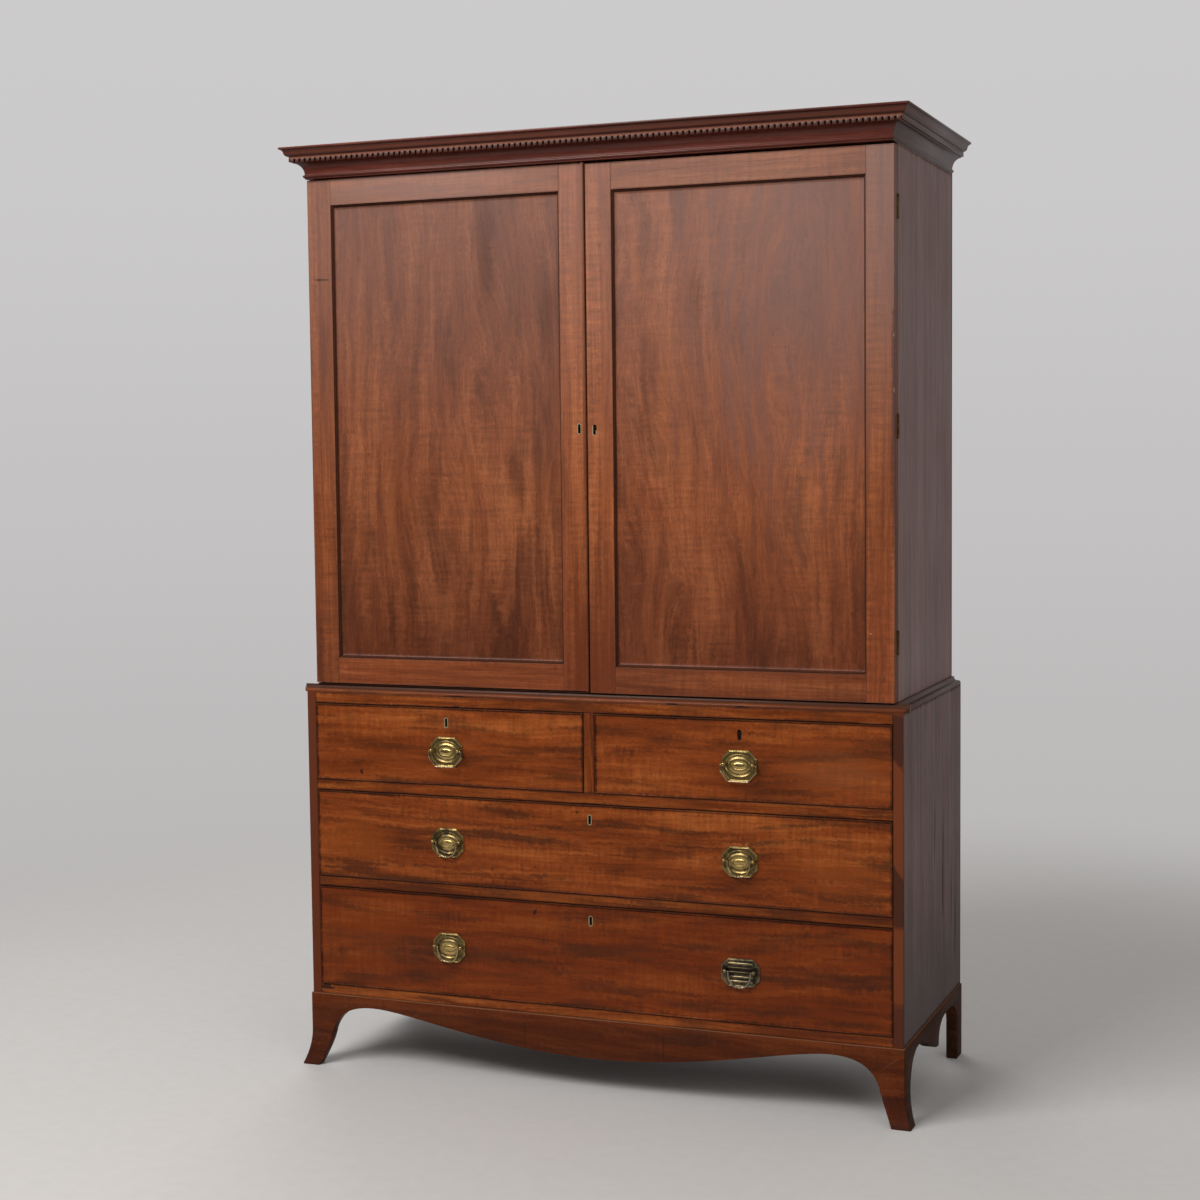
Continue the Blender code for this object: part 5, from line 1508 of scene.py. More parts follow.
@dataclass
class Base:
    """Shaped apron and side brackets on splayed feet."""

    half: float = 0.653
    proud: float = 0.003
    depth: float = 0.532
    height: float = 0.155
    board: float = 0.024
    splay: float = 0.016
    splay_height: float = 0.075
    toe: float = 0.039
    knee: float = 0.051
    arch: float = 0.131
    apron: Pair = (0.072, 0.148)  # lowest point, and inset of the arches
    bracket: Point = (0.125, 0.305, 0.080)  # arch inset, drop inset, drop height
    heel: float = 0.047
    levels: int = 12
    mitre: float = 0.0004
    toe_power: float = 1.2  # how fast a foot narrows towards its toe
    knee_curve: Point = (0.68, 0.90, 0.5)  # handles of the curves, as shares of their runs
    apron_curve: Pair = (0.47, 0.82)
    drop_curve: Pair = (0.35, 0.70)
    rear_curve: Point = (0.6, 0.7, 0.75)
    steps: tuple[int, int, int] = (28, 16, 14)  # points on the apron, on a knee and on an arch
    edge: Point = (0.0011, 45.0, 30.0)  # rounding, least turn rounded, least crease
    corner: float = 1e-4  # distance within which a point is on the outer edge

    def lean(self, z: float) -> float:
        """How far a foot leans out at a height."""
        return self.splay * max(0.0, 1 - z / self.splay_height) ** 2

    def rows(self) -> list[float]:
        """Heights at which a foot is bent, from its splay down to the floor."""
        return [self.splay_height * (1 - i / self.levels) for i in range(1, self.levels + 1)]

    def inner(self, outer: float, z: float) -> float:
        """Inner edge of a front foot at a height."""
        return between(outer - self.knee, outer + self.splay - self.toe,
                       (1 - z / self.splay_height) ** self.toe_power)

    def knee_sweep(self, arch: Floats, knee: Floats) -> list[Pair]:
        """Curve from the top of an arch to the knee of a front foot.

        Args:
            arch: top of the arch
            knee: the knee

        Returns:
            The points.
        """
        near, far, rise = self.knee_curve
        first = (between(arch[0], knee[0], near), arch[1])
        second = (between(arch[0], knee[0], far), between(knee[1], arch[1], rise))
        return sweep(arch, first, second, knee, self.steps[1])

    def foot(self, outer: float) -> list[Pair]:
        """Outline of a front foot: down its inner edge and up its outer one.

        Args:
            outer: where its outer edge is at the knee

        Returns:
            The points.
        """
        rows = self.rows()
        down = [(self.inner(outer, z), z) for z in rows]
        up = [(outer + self.lean(z), z) for z in reversed(rows)]
        return down + up + [(outer, self.splay_height)]

    def bend(self, piece: Piece, axis: int, sign: float, near: Callable[[Vector], bool]) -> None:
        """Saw a flat board into rows below the knee and lean the rows out.

        Args:
            piece: the flat board
            axis: axis along which it leans
            sign: direction of the lean
            near: whether a point belongs to a splayed foot
        """
        with editing(piece):
            for z in self.rows()[:-1] + [self.splay_height]:
                bpy.ops.mesh.select_all(action="SELECT")
                bpy.ops.mesh.bisect(plane_co=(0, 0, z), plane_no=(0, 0, 1))
            for z in self.rows():
                pick("VERT", lambda v: abs(v.co.z - z) < NEAR and near(v.co))
                shift = [0.0, 0.0, 0.0]
                shift[axis] = sign * self.lean(z)
                bpy.ops.transform.translate(value=shift)

    def ease(self, piece: Piece) -> None:
        """Round the edges of a finished board.

        Args:
            piece: the board
        """
        tidy(piece)
        width, turn, crease = self.edge
        eased(piece, width, turn)
        shade(piece, crease)

    def build(self) -> None:
        """Make the apron and both brackets."""
        patch = Mark((0.6237, 0, 0.1233), (0.0535, ANY, 0.0026), (0.20, 0.070, 0.036), 0.30, tilt=-38.8,
                     soft=0.5, square=True, ragged=0.05)
        toes = tuple(streak(side * 0.655, 0.020, 0.13, 0.20, (0.040, 0.0095, 0.0045), 0.60, soft=0.8)
                     for side, _ in SIDES)
        joints = tuple(streak(x, 0.11, 0.0022, 0.11, INK, 0.65, soft=0.5, ragged=0.3)
                       for x in (0.156, -0.149))
        # painted highlight: a lighter line along the top edge of the base and brackets
        crest = band(self.height, 0.0045, (0.27, 0.110, 0.052), 0.6, 0.6)
        apron = self.front()
        wood = BASE_WOOD.material(Board("base_apron", marks=(patch,) + toes + joints + (crest,), lift=0.93))
        settle(apron, "case", wood, ["base_apron"])
        seam = Mark((0, FRONT_PLANE + 0.111, 0.12), (ANY, 0.002, 0.08), INK, 0.8, soft=0.4, ragged=0.2)
        worn = Mark((0, FRONT_PLANE + 0.475, 0.085), (ANY, 0.030, 0.09), HONEY, 0.35, soft=0.9, ragged=0.8)
        for side, hand in SIDES:
            node = f"base_{hand}_bracket"
            piece = self.side(side, f"{node}_board")
            wood = SHADED_FOOT_WOOD.material(Board(node, Face.SIDE, (seam, worn, crest)))
            settle(piece, "case", wood, [node])

    def front(self) -> Piece:
        """Apron with both front feet.

        Returns:
            The board.
        """
        drop, inset = self.apron
        arch = (self.half - inset, self.arch)
        knee = (self.half - self.knee, self.splay_height)
        near, far = self.apron_curve
        right = sweep((0.0, drop), (arch[0] * near, drop), (arch[0] * far, self.arch), arch, self.steps[0])
        right += self.knee_sweep(arch, knee) + self.foot(self.half) + [(self.half, self.height)]
        outline = [(0.0, drop)] + right + [(-x, z) for x, z in reversed(right)]
        face = FRONT_PLANE - self.proud
        piece = drawn_out("apron_with_feet", [(x, face, z) for x, z in outline], (0, self.board, 0))
        for side in (-1, 1):
            with editing(piece):
                pick("VERT", lambda v: v.co.y > face + self.board / 2
                     and side * v.co.x > self.half + self.lean(v.co.z) - self.corner)
                bpy.ops.transform.translate(value=(-side * self.board, 0, 0))
        self.bend(piece, 1, -1.0, lambda co: True)
        self.ease(piece)
        return piece

    def side(self, side: int, name: str) -> Piece:
        """Bracket with a splayed front foot, two arches and a straight rear foot.

        Args:
            side: -1 left, 1 right
            name: the piece's name

        Returns:
            The board.
        """
        inset, drop_inset, drop_height = self.bracket
        arch = (inset - self.proud, self.arch)
        knee = (self.knee - self.proud, self.splay_height)
        drop = (drop_inset - self.proud, drop_height)
        heel = (self.depth - self.heel, self.splay_height)
        crown = (between(drop[0], heel[0], 0.5), self.arch)
        foot = [(-y, z) for y, z in self.foot(self.proud)]
        outline = [(-self.proud, self.height)] + foot[::-1]
        outline += self.knee_sweep(arch, knee)[::-1] + [arch]
        near, far = self.drop_curve
        outline += sweep(arch, (between(arch[0], drop[0], near), self.arch),
                         (between(arch[0], drop[0], far), drop[1]), drop, self.steps[2])
        near, far, rise = self.rear_curve
        outline += sweep(drop, (drop[0], self.arch), (between(drop[0], crown[0], near), self.arch), crown,
                         self.steps[2])
        outline += sweep(crown, (between(crown[0], heel[0], far), self.arch),
                         (heel[0], between(heel[1], self.arch, rise)), heel, self.steps[2])
        outline += [(heel[0], 0.0), (self.depth, 0.0), (self.depth, self.height)]
        outer = side * self.half
        points = [(outer, FRONT_PLANE + y + self.mitre, z) for y, z in outline]
        piece = drawn_out(name, points, (-side * self.board, 0, 0))
        face = FRONT_PLANE + self.mitre - self.proud
        with editing(piece):
            pick("VERT", lambda v: abs(v.co.x) < self.half - self.board / 2
                 and v.co.y < face - self.lean(v.co.z) + self.corner)
            bpy.ops.transform.translate(value=(0, self.board, 0))
        self.bend(piece, 0, side, lambda co: co.y < FRONT_PLANE + drop[0])
        cut_off(piece, (0, FRONT_PLANE + self.depth, 0), (0, 1, 0))
        self.ease(piece)
        return piece


class Bail(Enum):
    """Form of a handle's swinging bail."""

    OCTAGON = "octagon"
    ROUND = "round"


@dataclass(frozen=True)
class HandleSpot:
    """Where one handle sits and which kind it is."""

    name: str
    drawer: str
    x: float
    z: float
    bail: Bail
    reeded: bool = False
    drift: float = 0.0
    tarnish: float = 0.35
    rubbed: float = 0.6


@dataclass
class Handles:
    """Six drop handles: stamped plates, turned posts and bails."""

    spots: tuple[HandleSpot, ...] = (
        HandleSpot("top_left", "top_left_drawer", -DRAWER_X, 0.6935, Bail.OCTAGON, drift=0.0, tarnish=0.30),
        HandleSpot("top_right", "top_right_drawer", DRAWER_X, 0.6935, Bail.OCTAGON, drift=1.7, tarnish=0.20),
        HandleSpot("middle_left", "middle_drawer", -DRAWER_X, 0.501, Bail.ROUND, drift=3.1, tarnish=0.75),
        HandleSpot("middle_right", "middle_drawer", DRAWER_X, 0.501, Bail.ROUND, drift=4.4, tarnish=0.45),
        HandleSpot("bottom_left", "bottom_drawer", -DRAWER_X, 0.27825, Bail.ROUND, drift=5.2, tarnish=0.40),
        HandleSpot("bottom_right", "bottom_drawer", DRAWER_X, 0.27825, Bail.ROUND, True, 6.9, 0.55))
    plate: Point = (0.074, 0.062, 0.0162)  # width, height and cut of the corners
    reeded_plate: Point = (0.081, 0.057, 0.0145)
    sheet: float = 0.0014
    seat: float = 0.0003
    sides: int = 64
    rim: tuple[Pair, ...] = (  # share of the size, and relief in sheets, of each ring
        (1.0, 1.0), (0.985, 1.7), (0.965, 2.0), (0.945, 1.9), (0.925, 1.55), (0.905, 1.9), (0.89, 1.95),
        (0.872, 1.5), (0.86, 1.0))
    ovals: tuple[Point, ...] = (  # shares of the width and of the height, and relief
        (0.419, 0.381, 1.0), (0.415, 0.376, 1.5), (0.408, 0.369, 1.85), (0.399, 0.360, 1.85),
        (0.389, 0.348, 1.55), (0.378, 0.335, 1.1), (0.368, 0.323, 0.7), (0.355, 0.308, 0.5),
        (0.342, 0.292, 0.55), (0.328, 0.276, 0.85), (0.316, 0.261, 1.3), (0.304, 0.245, 1.7),
        (0.288, 0.223, 1.95), (0.268, 0.197, 2.1), (0.246, 0.171, 2.2), (0.227, 0.148, 2.2),
        (0.212, 0.131, 2.0), (0.200, 0.116, 1.7), (0.189, 0.105, 1.6), (0.178, 0.094, 1.75),
        (0.165, 0.081, 2.1), (0.143, 0.063, 2.4), (0.114, 0.044, 2.5), (0.068, 0.023, 2.5))
    reeds: int = 5
    reed: Point = (0.052, 0.0030, 0.0031)  # length, half height and relief
    post_x: float = 0.0302
    post_rise: float = 0.003
    reach: float = 0.0110
    ball: float = 0.0042
    neck: float = 0.003
    collar: Pair = (0.0046, 0.0045)
    wire: float = 0.0016
    swell: float = 0.0007
    octagon: Point = (0.0370, 0.0338, 0.0134)  # half, drop and shoulder
    bend: tuple[float, int] = (0.0032, 5)  # start and points of the round at its corners
    bow: Point = (0.0234, 0.031, 0.0032)  # half, drop and flat
    bow_power: Pair = (0.8, 0.9)  # fullness of its curve, across and down
    bow_steps: int = 20
    turns: int = 24  # faces round a post
    collar_ease: float = 0.0006
    bar_ease: float = 0.0004
    crease: Pair = (50.0, 60.0)  # on plates and on bails, in degrees
    rubbed_levels: Pair = (2.4, 0.9)  # relief in sheets that is rubbed bright and left dark
    rubbed_field: Pair = (0.052, 0.044)
    post_stain: Point = (0.017, 0.026, 0.015)
    # the middle bars of the barred plate are darker
    bar_darkening: Point = (0.09, 0.012, 0.0185)
    bar_darkening_rise: float = 0.0046
    bail_tarnish: float = 0.4  # a bail is cleaner than its plate, from being held
    bail_painted_highlight: Pair = (0.62, 0.18)  # and paler, a painted highlight: towards which tone, and how far
    bail_drift: float = 0.5

    def build(self) -> None:
        """Model one of each kind and copy it to every drawer."""
        plates = {False: self.stamped_plate(), True: self.barred_plate()}
        bails = {kind: self.bail(kind) for kind in Bail}
        relief = tuple(FRONT_PLANE - self.seat - level * self.sheet for level in self.rubbed_levels)
        for spot in self.spots:
            metal, slot = (DARK_BRASS, "bronzed_brass") if spot.reeded else (OLD_BRASS, "brass")
            metal = replace(metal, name=f"{metal.name}_{spot.name}", tarnish=spot.tarnish)
            at = (spot.x, FRONT_PLANE, spot.z)
            plate = copied(plates[spot.reeded], f"{spot.name}_stamped_plate", at)
            stain = INK if spot.reeded else SOOT
            finish = replace(metal, relief=relief).material(spot.drift, self.shadows(spot, stain))
            settle(plate, spot.drawer, finish, [f"{spot.name}_plate"])
            bail = copied(bails[spot.bail], f"{spot.name}_swing_bail", at)
            # a bail is less tarnished, and paler as a painted highlight
            polished = replace(metal, name=f"{metal.name}_bail", tarnish=self.bail_tarnish * spot.tarnish,
                               bright=tuple(between(part, *self.bail_painted_highlight) for part in metal.bright))
            finish = polished.material(spot.drift + self.bail_drift)
            settle(bail, f"{spot.name}_bail", finish, [f"{spot.name}_bail"])
        discard(*plates.values(), *bails.values())

    def shadows(self, spot: HandleSpot, stain: Colour) -> list[Mark]:
        """Marks on one plate: dark round the posts, and rubbed in the middle or dark between bars.

        Args:
            spot: the handle
            stain: colour of the dark

        Returns:
            The marks, lowest first.
        """
        x, y, z = spot.x, FRONT_PLANE, spot.z
        posts = [Mark((x + side * self.post_x, y, z + self.post_rise), self.post_stain, stain, 0.85,
                      soft=0.7, ragged=0.2) for side, _ in SIDES]
        if spot.reeded:
            return posts + [Mark((x, y, z + self.bar_darkening_rise), self.bar_darkening, stain, 0.8, soft=0.3,
                                 square=True, ragged=0.1)]
        wide, tall = self.rubbed_field
        return [Mark((x, y, z), (wide, ANY, tall), GILT, spot.rubbed, soft=0.6, ragged=0.3)] + posts

    def rings(self, steps: Sequence[Floats], level: float) -> None:
        """Draw the selected loop inwards, ring by ring, at its own relief each time.

        Args:
            steps: share of the width, share of the height and relief in sheets of each ring
            level: relief of the selected loop
        """
        before = steps[0]
        for step in steps[1:]:
            lift = -(step[2] - level) * self.sheet
            bpy.ops.mesh.extrude_edges_move(TRANSFORM_OT_translate={"value": (0, lift, 0)})
            scale = (step[0] / before[0], 1.0, step[1] / before[1])
            bpy.ops.transform.resize(value=scale, center_override=ORIGIN)
            before, level = step, step[2]

    def rimmed(self, name: str, size: Point) -> Piece:
        """Octagon with its raised double rim, open in the middle and closed at the back.

        Args:
            name: the piece's name
            size: width, height and cut of the corners

        Returns:
            The open plate.
        """
        width, height, corner = size
        plate = fresh(name, bpy.ops.mesh.primitive_plane_add, size=1.0, scale=(width, height, 1.0),
                      rotation=FACING, location=(0, -self.seat, 0))
        with editing(plate):
            bpy.ops.mesh.bevel(offset=corner, offset_type="OFFSET", affect="VERTICES", segments=1)
            bpy.ops.mesh.select_all(action="SELECT")
            bpy.ops.mesh.delete(type="ONLY_FACE")
            bpy.ops.mesh.select_all(action="SELECT")
            bpy.ops.mesh.subdivide(number_cuts=self.sides // 8 - 1)
        with editing(plate, "EDGE"):
            self.rings([(1.0, 1.0, 0.0)] + [(share, share, relief) for share, relief in self.rim], 0.0)
            pick("EDGE", lambda e: e.is_boundary and all(v.co.y > -self.seat - NEAR for v in e.verts))
            bpy.ops.mesh.edge_face_add()
        return plate

    def stamped_plate(self) -> Piece:
        """Octagonal plate: its rim drawn in, rounded to an oval and stamped in rings, with two posts.

        Returns:
            The pattern.
        """
        width, height, _ = self.plate
        first = self.ovals[0]
        plate = self.rimmed("stamped_plate", self.plate)
        with editing(plate, "EDGE"):
            pick("EDGE", lambda e: e.is_boundary)
            bpy.ops.mesh.extrude_edges_move(TRANSFORM_OT_translate={"value": (0, 0, 0)})
            bpy.ops.transform.tosphere(value=1.0)
            loop = bmesh.from_edit_mesh(plate.data)
            radius = max(math.hypot(vertex.co.x, vertex.co.z) for vertex in loop.verts if vertex.select)
            scale = (first[0] * width / radius, 1.0, first[1] * height / radius)
            bpy.ops.transform.resize(value=scale, center_override=ORIGIN)
            self.rings(self.ovals, first[2])
            bpy.ops.mesh.edge_face_add()
        return self.with_posts(plate)

    def barred_plate(self) -> Piece:
        """Replacement plate: flat field with five half-round bars across it.

        Returns:
            The pattern.
        """
        plate = self.rimmed("barred_plate", self.reeded_plate)
        with editing(plate, "EDGE"):
            pick("EDGE", lambda e: e.is_boundary)
            bpy.ops.mesh.edge_face_add()
        length, half, relief = self.reed
        pitch = (self.reeded_plate[1] - 4 * half) / self.reeds
        bars = []
        for i in range(self.reeds):
            z = (i - (self.reeds - 1) / 2) * pitch
            outline = [(-length / 2, -self.seat - self.sheet / 2 - out, z + up)
                       for out, up in arc((0.0, 0.0), (relief, half), -90, 90, 12)]
            bar = drawn_out("bar", outline, (length, 0, 0))
            eased(bar, self.bar_ease, 60.0)
            bars.append(bar)
        return self.with_posts(joined("barred_plate", [plate] + bars))

    def with_posts(self, plate: Piece) -> Piece:
        """Join two turned posts to a plate.

        Args:
            plate: the plate

        Returns:
            The plate with its posts.
        """
        root = -self.seat - self.sheet / 2
        radius, length = self.collar
        ease = self.collar_ease
        profile = [(0.0, root), (radius, root), (radius, -length + ease), (radius - ease, -length)]
        profile += [(self.neck, -self.reach / 2)]
        profile += arc((0.0, -self.reach), (self.ball, self.ball), 45, -90, 12)
        post = trace("post", [(r, y, self.post_rise) for r, y in profile])
        with editing(post):
            centre = (0, 0, self.post_rise)
            bpy.ops.mesh.spin(steps=self.turns, angle=math.tau, center=centre, axis=(0, 1, 0))
        tidy(post)
        posts = [copied(post, "post", (side * self.post_x, 0, 0)) for side, _ in SIDES]
        discard(post)
        name = plate.name
        plate = joined(name, [plate] + posts)
        tidy(plate)
        shade(plate, self.crease[0])
        return plate

    def path(self, kind: Bail) -> list[Pair]:
        """Half of a bail's centre line, from its pin to its middle, about its axis.

        Args:
            kind: its form

        Returns:
            The points.
        """
        pin = self.ball / 2
        if kind is Bail.OCTAGON:
            half, drop, shoulder = self.octagon
            corner = self.plate[2]
            corners = [(self.post_x - pin, 0.0), (half, 0.0), (half, -shoulder), (half - corner, -drop),
                       (0.0, -drop)]
            return rounded(corners, *self.bend)
        half, drop, flat = self.bow
        across, down = self.bow_power
        points = [(self.post_x + pin, 0.0), (half, 0.0)]
        for i in range(1, self.bow_steps):
            angle = math.radians(90 * i / self.bow_steps)
            points.append((half * math.cos(angle) ** across, -drop * math.sin(angle) ** down))
        return points + [(flat, -drop), (0.0, -drop)]

    def bail(self, kind: Bail) -> Piece:
        """Round bar along a bail's centre line, thicker towards its foot when it is round.

        Args:
            kind: its form

        Returns:
            The pattern.
        """
        right = self.path(kind)
        line = right[:-1] + [(-u, v) for u, v in reversed(right)]
        piece = trace(f"{kind.value}_bail", [(u, -self.reach, self.post_rise + v) for u, v in line])
        focus(piece)
        bpy.ops.object.convert(target="CURVE")
        piece = bpy.context.object
        piece.data.bevel_depth = self.wire
        piece.data.bevel_resolution = 4
        piece.data.use_fill_caps = True
        deepest = min(v for _, v in line)
        for spline in piece.data.splines:
            for point in spline.points:
                share = (point.co.z - self.post_rise) / deepest
                point.radius = 1.0 + (self.swell / self.wire * share if kind is Bail.ROUND else 0.0)
        bpy.ops.object.convert(target="MESH")
        piece = bpy.context.object
        tidy(piece)
        shade(piece, self.crease[1])
        return piece


def rounded(corners: Sequence[Pair], radius: float, steps: int) -> list[Pair]:
    """A chain of straight runs with its inner corners rounded.

    Args:
        corners: the chain
        radius: how far from a corner its round starts
        steps: points on each round

    Returns:
        The points of the rounded chain.
    """
    points = [corners[0]]
    for before, corner, after in zip(corners, corners[1:], corners[2:]):
        here = Vector(corner)
        start = here + (Vector(before) - here).normalized() * radius
        end = here + (Vector(after) - here).normalized() * radius
        points.append(tuple(start))
        points += sweep(start, here.lerp(start, 0.45), here.lerp(end, 0.45), end, steps)
    return points + [corners[-1]]


@dataclass
class Escutcheons:
    """Brass keyhole rings, one chipped and one lost, with the locks behind them."""

    width: float = 0.0088
    height: float = 0.0218
    wall: float = 0.0012
    depth: float = 0.0035
    proud: float = 0.0004
    lock_depth: float = 0.0032
    slot_depth: float = 0.011
    ease: float = 0.0003
    ease_angle: float = 60.0
    crease: float = 40.0
    pin: Point = (0.0011, 0.003, 0.0045)  # radius, start and height of the pin in a lock
    chip: tuple[Point, Point] = ((0.0008, 0, 0.0035), (0.8, 0, 0.6))  # a point of the break and its normal
    places: tuple[tuple[str, str, float, float, float], ...] = (
        ("left_door", "whole", -0.0165, FRONT_PLANE + 0.009, 1.3615),
        ("right_door", "chipped", 0.0165, FRONT_PLANE + 0.009, 1.3585),
        ("top_left_drawer", "whole", -DRAWER_X, FRONT_PLANE, 0.754),
        ("top_right_drawer", "lost", DRAWER_X, FRONT_PLANE, 0.754),
        ("middle_drawer", "whole", 0.0, FRONT_PLANE, 0.567),
        ("bottom_drawer", "whole", 0.0, FRONT_PLANE, 0.358))

    def build(self) -> None:
        """Set a lock in each keyhole, and a ring in each but the one whose ring is lost."""
        whole = self.ring("whole")
        chipped = self.ring("chipped")
        cut_off(chipped, *self.chip)
        lock = self.lock()
        for body, state, x, face, z in self.places:
            at = (x, face, z)
            if state != "lost":
                ring = copied(whole if state == "whole" else chipped, f"{body}_escutcheon", at)
                settle(ring, body, PALE_BRASS.material(z))
            piece = copied(lock, f"{body}_lock_case", at)
            settle(piece, body, IRON.material(z))
        discard(whole, chipped, lock)

    def stadium(self, name: str, width: float, height: float, y: float) -> Piece:
        """Flat keyhole shape with round ends that faces the front.

        Args:
            name: the piece's name
            width: its width
            height: its height
            y: its depth

        Returns:
            The flat piece.
        """
        piece = fresh(name, bpy.ops.mesh.primitive_plane_add, size=1.0, scale=(width, height, 1.0),
                      rotation=FACING, location=(0, y, 0))
        with editing(piece):
            bpy.ops.mesh.bevel(offset=width / 2 - NEAR, affect="VERTICES", segments=8, profile=0.5)
        return piece

    def ring(self, name: str) -> Piece:
        """A ring that lines the mouth of a keyhole.

        Args:
            name: the piece's name

        Returns:
            The pattern.
        """
        ring = self.stadium(name, self.width, self.height, -self.proud)
        with editing(ring, "FACE"):
            bpy.ops.mesh.inset(thickness=self.wall)
            bpy.ops.mesh.delete(type="FACE")
            bpy.ops.mesh.select_all(action="SELECT")
            bpy.ops.mesh.extrude_region_move(TRANSFORM_OT_translate={"value": (0, self.depth, 0)})
        tidy(ring)
        eased(ring, self.ease, self.ease_angle)
        shade(ring, self.crease)
        return ring

    def lock(self) -> Piece:
        """Iron lock at the bottom of a keyhole, with the pin that guides its key.

        Returns:
            The pattern.
        """
        start = self.slot_depth - self.lock_depth
        case = self.stadium("lock", self.width, self.height, start)
        with editing(case, "FACE"):
            bpy.ops.mesh.inset(thickness=self.wall, depth=-self.lock_depth / 3)
        radius, near, height = self.pin
        pin = fresh("pin", bpy.ops.mesh.primitive_cylinder_add, vertices=16, radius=radius,
                    depth=self.slot_depth - near, rotation=FACING,
                    location=(0, (self.slot_depth + near) / 2, height))
        eased(pin, self.ease)
        finish_with(case, "SOLIDIFY", thickness=self.lock_depth / 2, offset=-1.0)
        case = joined("lock", [case, pin])
        shade(case, self.crease)
        return case


